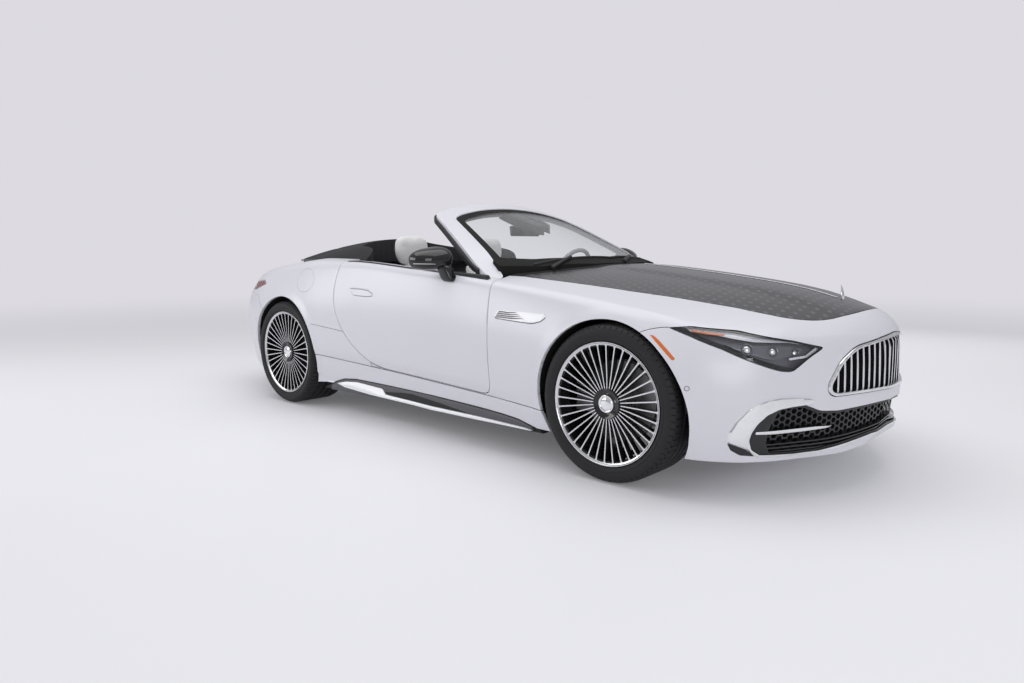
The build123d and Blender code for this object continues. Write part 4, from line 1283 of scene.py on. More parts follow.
# Windscreen
screen = {
    "baseX": 0.860, "baseZ": 0.985, "slope": 0.39, "sagBack": 0.16, "sagFront": 0.31, "backX": -0.2, "frontX": 1.0,
    "pane": ((0, 0.872), (0.260, 0.815), (0.560, 0.672), (0.690, 0.560), (0.716, 0.520), (0.575, 0.060),
             (0.500, 0.030), (0.300, 0.012), (0, 0.008)),
    "base": ((0, 0.925), (0.26, 0.870), (0.56, 0.725), (0.740, 0.580), (0.728, 0.515), (0.690, 0.548), (0.55, 0.656),
             (0.25, 0.793), (0, 0.846)),
    "cowl": ((0, 0.986), (0.250, 0.956), (0.450, 0.876), (0.600, 0.800), (0.708, 0.790), (0.724, 0.700),
             (0.738, 0.640), (0.738, 0.540), (0.690, 0.470), (0, 0.600)),
    "sensor": ((0.12, -0.02), (0.118, 0.15), (0.085, 0.265), (0, 0.290), (0, -0.02)),
    "behind": ((-0.4, -1), (0.50, -1), (0.50, 1), (-0.4, 1)),
    "wipers": (((0.695, -0.590), (0.848, -0.060)), ((0.842, -0.100), (0.812, 0.430))),
    "seal": 0.014, "mirrorPivot": (0.108, 0, 1.180), "mirrorTurns": ((-12, "Y"), (-14, "Z")),
}


def screenHeight(x, y):
    share = (x - screen["backX"]) / (screen["frontX"] - screen["backX"])
    sag = screen["sagBack"] + (screen["sagFront"] - screen["sagBack"]) * share
    return screen["baseZ"] + screen["slope"] * (screen["baseX"] - x) - sag * y**2


def gridOver(low, high, steps):
    # even x and y places over a rectangle
    x, y = (np.linspace(a, b, count) for a, b, count in zip(low, high, steps))
    return np.repeat(x[:, None], steps[1], axis=1), np.repeat(y[None], steps[0], axis=0)


def screenBand(name, lift, thickness, keep, finish, slot, node=None, remove=(), edge=0.0, settle=None):
    # a band that follows the windscreen's surface, lifted above it
    x, y = gridOver((-0.22, -0.86), (1.02, 0.86), (64, 73))
    band = sheetOf(name, np.stack([x, y, screenHeight(x, y) + lift], axis=-1))
    upward = band.data.polygons[0].normal.z > 0
    modify(band, "SOLIDIFY", thickness=thickness, offset=-1 if upward else 1)
    span = ("Z", 0.7, 1.6)
    shaped(band, [prism(line, *span) for line in keep], [prism(line, *span) for line in remove])
    if edge:
        roundEdges(band, edge, 3, 40)
    if settle:
        settle(band)
    return finishPiece(band, "body_shell", finish, slot, [node] if node else ())


def settleFrame(obj):
    # the pillars' feet come down to the wing, and the header drops towards the rear
    points = placeOf(obj)
    foot = np.clip((points[:, 0] - 0.40) / 0.17, 0, 1) * np.clip((np.abs(points[:, 1]) - 0.66) / 0.07, 0, 1)
    points[:, 2] -= 0.030 * foot**1.5 + 0.013 * np.clip((0.10 - points[:, 0]) / 0.25, 0, 1)
    setPlace(obj, points)


frameLine = rounded(planOutline(panels["screenFrame"]), 0.035)
paneLine = rounded(planOutline(screen["pane"]), 0.045)
borderLine = rounded(grown(planOutline(screen["pane"]), -0.050), 0.02)
screenBand("screenFrame", 0.014, 0.040, [frameLine], "bodyPaint", "body_paint", "windshield_frame", [paneLine], 0.009,
           settleFrame)
screenBand("screenGlass", 0.003, 0.005, [grown(paneLine, -0.001)], "glass", "glass", "windshield")
screenBand("screenBorder", 0.0042, 0.0075, [grown(paneLine, -0.0005)], "darkInner", "black_trim", "windshield",
           [borderLine])
screenBand("screenBase", 0.0165, 0.052, [rounded(planOutline(screen["base"]), 0.012)], "darkInner", "black_trim",
           "cowl", edge=0.003)
dress("cowlTop", ((0.3, -0.9, 0.6), (1.1, 0.9, 1.1), ("Z", 0.7, 1.6)), 0.003, 0.02,
      [grown(planOutline(screen["cowl"]), -0.0005)], "darkInner", "black_trim", "cowl", pick("cabin bonnetClear"),
      both=False)
screenBand("screenSeal", -0.008, 0.022, [grown(frameLine, screen["seal"]), screen["behind"]], "blackTrim",
           "black_trim", None, [grown(frameLine, -screen["seal"])], 0.004)
screenBand("screenInner", -0.024, 0.014, [grown(frameLine, -0.010)], "greyTrim", "dark_trim", None,
           [grown(paneLine, -0.012)], 0.003)
screenBand("sensorHousing", -0.004, 0.052, [rounded(planOutline(screen["sensor"]), 0.03)], "blackTrim", "dark_trim",
           edge=0.008)
for name, low, high, edge, finish in (
    ("innerMirror", (0.098, -0.112, 1.146), (0.120, 0.112, 1.212), 0.010, "blackGloss"),
    ("innerMirrorGlass", (0.095, -0.102, 1.153), (0.099, 0.102, 1.205), 0.0015, "chrome"),
    ("innerMirrorStem", (0.104, -0.012, 1.180), (0.122, 0.012, 1.262), 0.005, "blackGloss"),
):
    piece = box(name, low, high, edge, 3)
    for degrees, axis in screen["mirrorTurns"]:
        lean(piece, degrees, axis, np.array(screen["mirrorPivot"]))
    finishPiece(piece, "body_shell", finish, "bright_trim" if finish == "chrome" else "dark_trim")


def tapered(start, end, startHalf, endHalf):
    # a straight strip whose width changes from one end to the other
    along = (end - start) / np.linalg.norm(end - start)
    side = np.array([-along[1], along[0]])
    return [tuple(start + side * startHalf), tuple(end + side * endHalf), tuple(end - side * endHalf),
            tuple(start - side * startHalf)]


for number, (start, end) in enumerate(screen["wipers"]):
    start, end = np.array(start), np.array(end)
    pivot = start + (end - start) / np.linalg.norm(end - start) * 0.05 + np.array([0.075, 0])
    for name, lift, thickness, line in (
        ("wiperBlade", 0.026, 0.012, tapered(start, end, 0.005, 0.004)),
        ("wiperArm", 0.036, 0.011, tapered(pivot, start + (end - start) * 0.45, 0.010, 0.005)),
    ):
        screenBand(f"{name}{number}", lift, thickness, [line], "blackTrim", "black_trim", edge=0.002)
print("windscreen built")

# Door mirrors
mirrorShape = {
    "centre": (0.272, -0.948, 1.006), "reach": (0.094, 0.108, 0.077), "power": 2.7, "sweep": 0.026,
    "pane": ((-1.024, 0.972), (-0.872, 0.966), (-0.872, 1.050), (-1.010, 1.034)),
    "indicator": ((-1.2, 0.9835), (-0.978, 0.9800), (-0.978, 0.9820), (-1.2, 0.9905)),
    "footLow": (0.306, -0.914, 0.884), "footHigh": (0.388, -0.848, 0.980),
}


def mirrorShell(name, swell=1.0):
    # a squared-off egg, flatter behind and narrower outwards
    centre, reach = np.array(mirrorShape["centre"]), mirrorShape["reach"]
    turns = np.linspace(0, 2 * math.pi, 65)
    tilts = np.linspace(-math.pi / 2, math.pi / 2, 33)
    power = 2 / mirrorShape["power"]

    def curved(value):
        return np.sign(value) * np.abs(value) ** power

    x = curved(np.cos(tilts))[:, None] * curved(np.cos(turns))[None]
    y = curved(np.cos(tilts))[:, None] * curved(np.sin(turns))[None]
    z = np.repeat(curved(np.sin(tilts))[:, None], 65, axis=1)
    x = np.where(x < 0, x * 0.58, x)
    narrow = 1 - 0.34 * (1 - y) / 2 - 0.12 * np.clip(x, 0, 1) ** 2
    narrow = np.where(z > 0, narrow, 0.76 - 0.06 * np.clip(x, 0, 1))
    rise = 0.06 * y - 0.06 * np.clip(x, 0, 1)
    points = np.stack([centre[0] + (x - 0.2) * reach[0] + y * mirrorShape["sweep"], centre[1] + y * reach[1],
                       centre[2] + (z * narrow + rise) * reach[2]], axis=-1)
    shell = sheetOf(name, points)
    if swell != 1.0:
        setPlace(shell, (placeOf(shell) - mirrorShape["centre"]) * swell + mirrorShape["centre"])
    return shell


pair(mirrorShell("mirrorShell"), "door_SIDE_body", "blackGloss", "black_trim", "mirror_SIDE")
mirrorPane = mirrorShell("mirrorPane", 1.014)
cut(mirrorPane, prism(rounded(mirrorShape["pane"], 0.02), "X", 0.15, 0.235), "INTERSECT")
pair(mirrorPane, "door_SIDE_body", "chrome", "bright_trim", "mirror_SIDE")
foot = box("mirrorFoot", mirrorShape["footLow"], mirrorShape["footHigh"], 0.020, 3)
points = placeOf(foot)
high = (points[:, 2] - 0.884) / 0.096
points[:, 0] -= high * 0.034
points[:, 1] -= high * 0.022
setPlace(foot, points)
pair(foot, "door_SIDE_body", "blackGloss", "black_trim", "mirror_SIDE")
indicator = mirrorShell("mirrorIndicator", 1.010)
cut(indicator, prism(mirrorShape["indicator"], "X", 0.245, 0.5), "INTERSECT")
pair(indicator, "door_SIDE_body", "lampWhite", "lamp_clear", "mirror_SIDE")
print("mirrors built")

# Roof cover
coverShape = {
    "side": ((-1.424, 1.036), (-1.395, 1.070), (-1.330, 1.112), (-1.230, 1.150), (-1.150, 1.157), (-1.090, 1.148),
             (-0.900, 1.118), (-0.720, 1.098), (-0.600, 1.066), (-0.560, 1.050)),
    "plan": ((0, -1.150), (0.300, -1.140), (0.510, -1.040), (0.605, -0.850), (0.650, -0.640), (0.690, -0.602),
             (0.736, -0.620), (0.696, -1.424)),
    "top": 1.157, "fall": 0.175, "flankRise": 0.072, "tuck": 0.010, "soft": 0.012,
    "edgeLow": (-1.415, -0.712, 0.988), "edgeHigh": (-0.60, -0.700, 0.999),
}


def coverHeight(x, y):
    # the lower of a side profile and a cross profile, with the crease where they meet smoothed
    side = np.array(coverShape["side"])
    height = smoothCurve(side[:, 0], side[:, 1:], np.clip(x.ravel(), side[0, 0], side[-1, 0]))[:, 0].reshape(x.shape)
    away, soft = np.abs(y), coverShape["soft"]
    fuller = np.where(away < 0.6, (away / 0.6) ** 3, 1 - ((away - 0.6) / 0.135) ** 2)
    front = (coverShape["top"] - coverShape["fall"] * away**1.6 / 0.74**1.6
             + coverShape["flankRise"] * fuller * np.clip((x + 1.30) / 0.5, 0, 1))
    tuck = coverShape["tuck"] * np.exp(-((away - 0.50 - 0.25 * (x + 1.1)) / 0.022) ** 2)
    blend = -soft * np.log(np.exp(-height / soft) + np.exp(-front / soft))
    return blend - tuck * np.clip((x + 1.40) / 0.1, 0, 1) * 0.5


x, y = gridOver((-1.50, -0.80), (-0.50, 0.80), (96, 121))
roofCover = sheetOf("roofCover", np.stack([x, y, coverHeight(x, y)], axis=-1))
modify(roofCover, "SOLIDIFY", thickness=0.30, offset=-1 if roofCover.data.polygons[0].normal.z > 0 else 1)
cut(roofCover, prism(rounded(planOutline(coverShape["plan"]), 0.03), "Z", 0.980, 1.3), "INTERSECT")
keepLargest(roofCover)
roundEdges(roofCover, 0.012, 3)
finishPiece(roofCover, "body_shell", "roofCloth", "roof_cloth", ["roof_cover"], 50)
coverEdge = box("coverEdge", coverShape["edgeLow"], coverShape["edgeHigh"], 0.003)
points = placeOf(coverEdge)
points[:, 1] -= np.clip((points[:, 0] + 1.415) / 0.8, 0, 1) * 0.036
points[:, 2] -= np.clip((points[:, 0] + 1.0) / 0.4, 0, 1) * 0.006
setPlace(coverEdge, points)
pair(coverEdge, "body_shell", "darkChrome", "bright_trim")
print("roof cover built")

# Doors: inner block and seals
filled = copyOf(skinSource, "doorFill")
sunk(filled, 0.0205)
cut(filled, prism(grown(doorLine, -0.012), "Y", -far, -0.8265), "INTERSECT")
keepLargest(filled)
roundEdges(filled, 0.006, 3)
pair(filled, "door_SIDE_body", "bodyPaint", "body_paint", "door_SIDE")
dress("doorSeal", ((-0.7, -far, 0.85), (0.7, -0.7, 1.1), ("Z", 0.8, 1.1)), -0.003, 0.030,
      [((-0.640, -0.852), (0.600, -0.852), (0.600, -0.828), (-0.640, -0.828))], "blackTrim", "black_trim", edge=0.004,
      body="door_SIDE_body")
print("doors filled")

# Sides: vent, handle, markers, sill trim
sideTrim = {
    "vent": ((0.735, 0.752), (0.867, 0.753), (1.040, 0.751), (1.051, 0.734), (1.024, 0.714), (0.977, 0.702),
             (0.934, 0.702), (0.810, 0.708), (0.722, 0.713), (0.712, 0.724)),
    "ventSlots": ((0.738, 0.868, 0.7440), (0.731, 0.886, 0.7350), (0.725, 0.900, 0.7260), (0.720, 0.918, 0.7172)),
    "amber": ((1.627, 0.693), (1.643, 0.691), (1.672, 0.672), (1.713, 0.638), (1.752, 0.602), (1.742, 0.595),
              (1.704, 0.628), (1.664, 0.662)),
    "sensor": (1.811, 0.486), "sensorRadius": 0.0105, "sensorInner": 0.0084,
    "liningOuter": 0.407, "liningInner": 0.393, "frontFoot": 0.012, "rearFoot": 0.240,
}
sideZone = ((-1.3, -far, 0.4), (1.95, -0.75, 0.95), sideTool)
slots = []
for start, end, z in sideTrim["ventSlots"]:
    # each slot waves a little and tapers to its front end
    run = np.linspace(start, end, 9)
    wave = 0.0012 * np.sin((run - start) / (end - start) * 9)
    taper = 0.0030 * (1 - ((run - start) / (end - start)) ** 4)
    slots.append([(x, z + w - t - 0.0004) for x, w, t in zip(run, wave, taper)]
                 + [(x, z + w + t + 0.0004) for x, w, t in reversed(list(zip(run, wave, taper)))])
ventLine = rounded(sideTrim["vent"], 0.008)
# the vent plate's pale paint is a painted reflection standing in for bright metal
dress("ventPlate", sideZone, -0.0035, 0.008, [ventLine], "brightSatin", "bright_trim", None, slots, 0.0008)
# a black band shifted down from the vent plate: a painted shadow along its lower edge
dress("ventBack", sideZone, -0.0012, 0.006, [[(x - 0.001, z - 0.0042) for x, z in grown(ventLine, 0.0005)]],
      "blackGloss", "black_trim")
dress("sideMarker", sideZone, -0.0012, 0.006, [rounded(sideTrim["amber"], 0.004)], "lampAmber", "bright_trim")
sensorLines = [ellipse(*sideTrim["sensor"], (radius, radius), 32)
               for radius in (sideTrim["sensorRadius"], sideTrim["sensorInner"])]
dress("sideSensor", sideZone, -0.0008, 0.006, sensorLines[:1], "graphite", "black_trim", None, sensorLines[1:])
dress("doorHandle", sideZone, -0.0030, 0.016, [grown(handleLine, -0.0028)], "bodyPaint", "body_paint", edge=0.002,
      body="door_SIDE_body")
dress("fillerFlap", sideZone, 0.0, 0.012, [grown(flapLine, -0.0016)], "bodyPaint", "body_paint", both=False)
dress("fillerBack", sideZone, 0.0205, 0.006, [grown(flapLine, 0.012)], "darkInner", "black_trim", both=False)
# a lining closes each wheel tub against the panel outside it
for place in ("front", "rear"):
    centreX, radius = wheels[place + "X"], wheels[place + "Radius"]
    outer, inner = (ellipse(centreX, radius, (sideTrim[key], sideTrim[key]), 96)
                    for key in ("liningOuter", "liningInner"))
    foot = radius + sideTrim["frontFoot"] if place == "front" else sideTrim["rearFoot"]
    zone = ((centreX - 0.45, -far, foot), (centreX + 0.45, -0.7, 0.85), sideTool)
    dress("archLining" + place.title(), zone, 0.0205, 0.078, [outer], "darkInner", "black_trim", None, [inner])
lowerEdge = np.array([(row[0], row[2]) for row in bodyRows])[::-1]
# the sill strip's pale paint is a painted reflection standing in for chrome
for name, outline, outer, depth, finish in (
    ("sillShadow", "shadow", -0.012, 0.05, "blackTrim"), ("sillInsert", "insert", 0.003, 0.03, "sillGrey"),
    ("sillStrip", "strip", 0.018, 0.03, "brightSatin"),
):
    line = [(min(max(x, sillTrim["ends"][0]), sillTrim["ends"][1]), max(z, sillTrim["lowest"]))
            for x, z in sillTrim[outline]]
    line = dense(rounded(line, 0.01) if outline == "strip" else line, 0.04)
    piece = prism(line, "Y", -outer, depth - outer, name)
    roundEdges(piece, 0.003, 2, 40)
    points = placeOf(piece)
    points[:, 1] -= np.interp(points[:, 0], lowerEdge[:, 0], lowerEdge[:, 1])
    if outline == "strip":
        points[:, 1] += (points[:, 2] - np.interp(points[:, 0], *sillTrim["stripFoot"])) * sillTrim["stripLean"]
    setPlace(piece, points)
    pair(piece, "body_shell", finish, "bright_trim" if outline == "strip" else "black_trim", "sill_SIDE")
print("sides dressed")

# Bonnet: spine strip and ornament
spineZone = ((0.9, -0.05, 0.6), (2.2, 0.05, 1.1), throughZ)
# the wider black band under the spine is painted shade for the gap along both its sides; the spine's pale paint is a
# painted reflection standing in for chrome
for name, half, rise, finish, slot in (
    ("spineLine", 0.0115, 0.0014, "blackGloss", "black_trim"),
    ("bonnetSpine", 0.0072, 0.0034, "brightSatin", "bright_trim"),
):
    dress(name, spineZone, -rise, rise + 0.003, [((1.020, -half), (2.080, -half), (2.080, half), (1.020, half))],
          finish, slot, edge=0.0008, body="bonnet_body", both=False)
leaf = ball("leafBlade", (2.101, 0, 0.847), (0.0055, 0.0165, 0.040))
points = placeOf(leaf)
share = np.clip((points[:, 2] - 0.810) / 0.074, 0, 1)
points[:, 0] = 2.103 + (points[:, 0] - 2.101) * (1.25 - 0.7 * share) - 0.010 * share**2
points[:, 1] *= 1.15 - 0.75 * share**2
setPlace(leaf, points)
leafFoot = ball("leafFoot", (2.103, 0, 0.800), (0.021, 0.013, 0.013))
finishPiece(joined("ornamentBlade", [leaf, leafFoot]), "bonnet_body", "chrome", "bright_trim", ["ornament"])
print("bonnet dressed")

# Rear: lamps, boot lip, plate, diffuser, outlets
rearShape = {
    "bars": 14, "barStart": -2.33, "barPitch": 0.052, "bar": ((0, 0.6), (0.034, 0.6), (0.050, 0.95), (0.016, 0.95)),
    "tailStrip": ((-1.85, 0.796), (-2.5, 0.778), (-2.5, 0.788), (-1.85, 0.803)),
    "lip": ((-2.262, -0.40), (-2.225, -0.415), (-2.222, 0), (-2.225, 0.415), (-2.262, 0.40), (-2.268, 0)),
    "thirdLamp": (0, 0.17, 0.822, 0.833), "bootBar": (0, 0.36, 0.738, 0.748), "pipe": (0.053, 0.282, 0.358),
    "outlet": (0.045, 0.290, 0.350), "screws": (-0.089, 0.089), "screwUp": 0.52, "screwRadius": 0.0035,
    "finPlaces": range(-3, 4), "finPitch": 0.085,
    "finLine": ((-2.338, 0.385), (-2.330, 0.335), (-2.300, 0.300), (-2.2, 0.272), (-2.2, 0.385)),
}
tailZone = ((-2.5, -far, 0.65), (-1.55, -0.44, 0.92), ("Y", -far, -0.5))
tailTool, tailInner = (prism(grown(tailLampLine, -inwards), "Y", -far, -panels["tailLampInner"] - inner)
                       for inwards, inner in ((0.0035, 0.003), (0.014, 0.014)))
dress("tailBase", tailZone, 0.012, 0.026, [tailTool], "blackGloss", "black_trim", "tail_lamp_SIDE")
dress("tailRim", tailZone, 0.002, 0.012, [tailTool], "lampRed", "lamp_red", "tail_lamp_SIDE", [tailInner], 0.001)
bars = [prism([(rearShape["barStart"] + k * rearShape["barPitch"] + x, z) for x, z in rearShape["bar"]],
              "Y", -far, -0.2) for k in range(rearShape["bars"])]
dress("tailBars", tailZone, 0.005, 0.008, [tailInner, joined("barTool", bars)], "lampRed", "lamp_red",
      "tail_lamp_SIDE", edge=0.001)
dress("tailStrip", tailZone, 0.0035, 0.01, [rearShape["tailStrip"]], "lampWhite", "lamp_clear", "tail_lamp_SIDE",
      edge=0.001)

rearZone = ((-2.6, -0.8, 0.1), (-1.9, 0.8, 1.0), throughX)


def rearBand(name, sink, thickness, keep, finish, slot, node=None, remove=(), edge=0.0, body="body_shell"):
    dress(name, rearZone, sink, thickness, [keep], finish, slot, node, remove, edge, body, both=False)


rearBand("bootLip", -0.009, 0.014, prism(rounded(rearShape["lip"], 0.01), "Z", 0.8, far), "bodyPaint", "body_paint",
         edge=0.004, body="boot_body")
rearBand("thirdLamp", -0.002, 0.006, upright(*rearShape["thirdLamp"]), "lampRed", "lamp_red", edge=0.001,
         body="boot_body")
rearBand("bootBar", -0.003, 0.008, upright(*rearShape["bootBar"]), "chrome", "bright_trim", edge=0.002,
         body="boot_body")
rearBand("plateRecess", 0.016, 0.004, grown(plateLine, 0.002), "blackTrim", "black_trim", "rear_bumper")
screwSize = (rearShape["screwRadius"], rearShape["screwRadius"])
holes = [prism(ellipse(side, rearShape["screwUp"], screwSize, 16), "X", -2.6, -2.2) for side in rearShape["screws"]]
rearBand("blankPlate", 0.008, 0.003, grown(plateLine, -0.008), "plateWhite", "black_trim", "rear_bumper", holes, 0.0006)
pipes = [prism(rounded(upright(side, *rearShape["pipe"]), 0.02), "X", -2.6, -1.9) for side in rearTrim["pipes"]]
rearBand("rearDiffuser", 0.007, 0.014, grown(diffuserLine, 0.004), "blackTrim", "black_trim", "rear_bumper", pipes)
fins = joined("diffuserFins", [
    box("fin", (-2.345, k * rearShape["finPitch"] - 0.004, 0.270), (-2.20, k * rearShape["finPitch"] + 0.004, 0.385),
        0.0015) for k in rearShape["finPlaces"]])
cut(fins, prism(rearShape["finLine"], "Y", -0.5, 0.5), "INTERSECT")
finishPiece(fins, "body_shell", "blackGloss", "black_trim", ["rear_bumper"])
tray = box("bootTray", (-2.305, -0.490, 0.402), (-2.030, 0.490, 0.419), 0.003)
finishPiece(tray, "body_shell", "darkInner", "black_trim")
silencer = box("silencer", (-2.115, -0.515, 0.282), (-1.805, 0.515, 0.380), 0.04, 4)
finishPiece(silencer, "body_shell", "exhaustSteel", "exhaust_steel", ["exhaust"])
outlets = []
for side in rearTrim["outlets"]:
    ring = upright(-side, *rearShape["outlet"])
    outlet = prism(rounded(ring, 0.018), "X", -2.289, -2.13, "outlet")
    cut(outlet, prism(rounded(grown(ring, -0.005), 0.014), "X", -2.6, -2.15), "DIFFERENCE")
    outlets.append(outlet)
outletPair = joined("exhaustOutlet", outlets)
roundEdges(outletPair, 0.0015)
pair(outletPair, "body_shell", "chrome", "exhaust_steel", "exhaust")
inner, outer, low, high = rearTrim["reflector"]
dress("rearReflector", rearZone, -0.001, 0.006,
      [((-outer, low + 0.006), (-inner, low), (-inner, high), (-outer, high + 0.004))], "lampRed", "lamp_red",
      edge=0.001)
print("rear dressed")

# Cabin: dashboard, console, door trims, steering wheel
cabinTrim = {
    "dash": ((0.352, 0.742), (0.346, 0.800), (0.356, 0.868), (0.392, 0.902), (0.450, 0.917), (0.596, 0.922),
             (0.596, 0.640), (0.470, 0.620), (0.372, 0.700)),
    "dashFace": ((0.334, 0.720), (0.330, 0.760), (0.345, 0.812), (0.380, 0.812), (0.380, 0.700), (0.345, 0.690)),
    "dashLower": ((0.40, 0.700), (0.365, 0.690), (0.470, 0.603), (0.590, 0.603), (0.590, 0.700)),
    "tunnel": ((-0.555, 0.24), (-0.555, 0.585), (0.250, 0.585), (0.440, 0.640), (0.440, 0.24)),
    "vents": (-0.640, -0.150, 0.150, 0.640), "ventUp": 0.853, "ventX": 0.3440,
}
dash = prism(rounded(cabinTrim["dash"], 0.035, 6), "Y", -0.758, 0.758, "dashTop")
roundEdges(dash, 0.012, 3, 60)
face = prism(rounded(cabinTrim["dashFace"], 0.012), "Y", -0.752, 0.752, "dashFace")
lower = prism(cabinTrim["dashLower"], "Y", -0.750, 0.750, "dashLower")
for piece, finish in ((dash, "darkLeather"), (face, "paleLeather"), (lower, "darkLeather")):
    finishPiece(piece, "body_shell", finish, "dark_trim", ["dashboard"])
line = box("dashLine", (0.3400, -0.752, 0.8135), (0.352, 0.752, 0.8195), 0.0015)
finishPiece(line, "body_shell", "darkChrome", "bright_trim", ["dashboard"])
hood = ball("clusterHood", (0.455, 0.37, 0.905), (0.085, 0.190, 0.034))
finishPiece(hood, "body_shell", "darkLeather", "dark_trim", ["dashboard"])
for name, low, high, turn, finish in (
    ("driverScreen", (0.348, 0.225, 0.832), (0.362, 0.515, 0.930), -14, "blackGloss"),
    ("centreScreen", (0.298, -0.120, 0.630), (0.312, 0.120, 0.850), -24, "blackGloss"),
    ("centreBezel", (0.302, -0.126, 0.624), (0.318, 0.126, 0.856), -24, "darkChrome"),
):
    screenPart = box(name, low, high, 0.004)
    lean(screenPart, turn, "Y", (np.array(low) + high) / 2)
    finishPiece(screenPart, "body_shell", finish, "dark_trim", ["dashboard"])
ventX, ventUp = cabinTrim["ventX"], cabinTrim["ventUp"]
for number, y in enumerate(cabinTrim["vents"]):
    for name, major, minor, finish in (
        ("ventRing", 0.036, 0.0035, "chrome"), ("ventRose", 0.020, 0.0022, "darkChrome"),
    ):
        ring = ringOf(f"{name}{number}", major, minor, 48, 10)
        points = placeOf(ring)
        setPlace(ring, np.stack([ventX + points[:, 2], y + points[:, 0], ventUp + points[:, 1]], axis=1))
        finishPiece(ring, "body_shell", finish, "bright_trim", ["dashboard"])
    disc = ball(f"ventDisc{number}", (ventX + 0.007, y, ventUp), (0.006, 0.035, 0.035))
    finishPiece(disc, "body_shell", "blackGloss", "dark_trim", ["dashboard"])
tunnel = prism(rounded(cabinTrim["tunnel"], 0.02), "Y", -0.112, 0.112, "consoleTunnel")
roundEdges(tunnel, 0.012, 3, 60)
finishPiece(tunnel, "body_shell", "darkLeather", "dark_trim", ["console"])
for name, low, high, edge, finish, slot in (
    ("consoleTop", (-0.235, -0.088, 0.580), (0.245, 0.088, 0.5895), 0.004, "blackGloss", "dark_trim"),
    ("consoleEdge", (-0.240, -0.093, 0.578), (0.250, 0.093, 0.5865), 0.003, "darkChrome", "bright_trim"),
):
    finishPiece(box(name, low, high, edge), "body_shell", finish, slot, ["console"])
for name, low, high, finish, edge in (
    ("doorUpper", (-0.600, -0.835, 0.780), (0.580, -0.806, 0.948), "darkLeather", 0.012),
    ("doorMiddle", (-0.560, -0.832, 0.500), (0.580, -0.808, 0.772), "paleLeather", 0.010),
    ("doorLower", (-0.380, -0.832, 0.370), (0.560, -0.811, 0.494), "darkLeather", 0.006),
    ("doorInlay", (-0.560, -0.826, 0.768), (0.560, -0.8045, 0.784), "darkChrome", 0.003),
    ("doorRest", (-0.420, -0.830, 0.655), (0.250, -0.768, 0.706), "paleLeather", 0.016),
    ("doorPull", (0.100, -0.822, 0.715), (0.230, -0.795, 0.727), "chrome", 0.004),
):
    piece = box(name, low, high, edge, 3)
    if name == "doorUpper":
        points = placeOf(piece)
        points[:, 2] += np.where(points[:, 2] > 0.86, (0.05 - points[:, 0]) * 0.045, 0)
        setPlace(piece, points)
    pair(piece, "door_SIDE_body", finish, "dark_trim", "door_SIDE")

steering = {
    "centre": (0.210, 0.370, 0.900), "tilt": 25.0, "rim": 0.1735, "section": 0.0140,
    # low and high corners of each spoke, in the wheel's own plane
    "spokes": (((-0.166, -0.020), (-0.050, 0.002)), ((0.050, -0.020), (0.166, 0.002)),
               ((-0.166, 0.006), (-0.050, 0.022)), ((0.050, 0.006), (0.166, 0.022)),
               ((-0.017, -0.166), (0.017, -0.040))),
}
tilt = math.radians(steering["tilt"])
wheelAxes = np.array([(0, 1, 0), (math.sin(tilt), 0, math.cos(tilt)), (-math.cos(tilt), 0, math.sin(tilt))])


def onWheel(obj, finish, slot):
    # from the wheel's own plane (across, up, towards the driver) to its place in the car
    setPlace(obj, placeOf(obj) @ wheelAxes + np.array(steering["centre"]))
    finishPiece(obj, "steering_wheel_body", finish, slot, ["steering_wheel"])


onWheel(ringOf("steeringRim", steering["rim"], steering["section"], 72, 16), "wheelGrey", "pale_trim")
onWheel(ball("steeringHub", (0, -0.004, -0.006), (0.062, 0.052, 0.026)), "wheelGrey", "pale_trim")
spokes = [box("spoke", (*low, -0.010), (*high, 0.0), 0.003) for low, high in steering["spokes"]]
onWheel(joined("steeringSpokes", spokes), "alloyBright", "bright_trim")
onWheel(ball("steeringDisc", (0, -0.004, 0.0185), (0.020, 0.020, 0.003)), "darkChrome", "bright_trim")
print("cabin dressed")

# Seats
seat = {
    "across": 0.370, "leanCentre": (-0.33, 0, 0.45), "pressure": 4.0, "voxel": 0.006, "frames": 20, "thinned": 0.12,
}


def plump(obj, cap):
    # cloth blown up from the inside, no point moving further than the cap
    before = placeOf(obj).copy()
    scene = bpy.context.scene
    scene.frame_set(1)
    activate(obj)
    cloth = obj.modifiers.new("cloth", "CLOTH")
    cloth.settings.use_pressure = True
    cloth.settings.uniform_pressure_force = seat["pressure"]
    cloth.settings.effector_weights.gravity = 0
    cloth.settings.quality = 4
    cloth.point_cache.frame_start = 1
    cloth.point_cache.frame_end = seat["frames"]
    for number in range(1, seat["frames"] + 1):
        scene.frame_set(number)
    bpy.ops.object.modifier_apply(modifier=cloth.name)
    scene.frame_set(1)
    moved = placeOf(obj) - before
    length = np.maximum(np.linalg.norm(moved, axis=1, keepdims=True), 1e-9)
    setPlace(obj, before + moved * np.minimum(1, cap / length))


def softBlock(name, low, high, edge, outline=None):
    # a rounded block, or a (y, z) outline given its depth, remeshed for filling
    if outline:
        piece = prism(outline, "X", low[0], high[0], name)
        roundEdges(piece, edge, 4, 60)
    else:
        piece = box(name, low, high, edge, 4)
    modify(piece, "REMESH", mode="VOXEL", voxel_size=seat["voxel"], use_smooth_shade=True)
    return piece


def channels(obj, places, axis, depth, width, facing, over):
    # sewn lines pressed into the side that faces a direction
    points = placeOf(obj)
    normals = np.empty(len(points) * 3)
    obj.data.vertices.foreach_get("normal", normals)
    normals = normals.reshape(-1, 3)
    outward = np.clip(normals @ np.array(facing), 0, 1)
    pressed = np.zeros(len(points))
    for place in places:
        pressed += np.exp(-((points[:, axis] - place) / width) ** 2)
    inside = np.ones(len(points))
    if over is not None:
        along, start, end = over
        inside = np.clip((points[:, along] - start) / 0.02, 0, 1) * np.clip((end - points[:, along]) / 0.02, 0, 1)
    setPlace(obj, points - normals * (pressed * outward * inside * depth)[:, None])


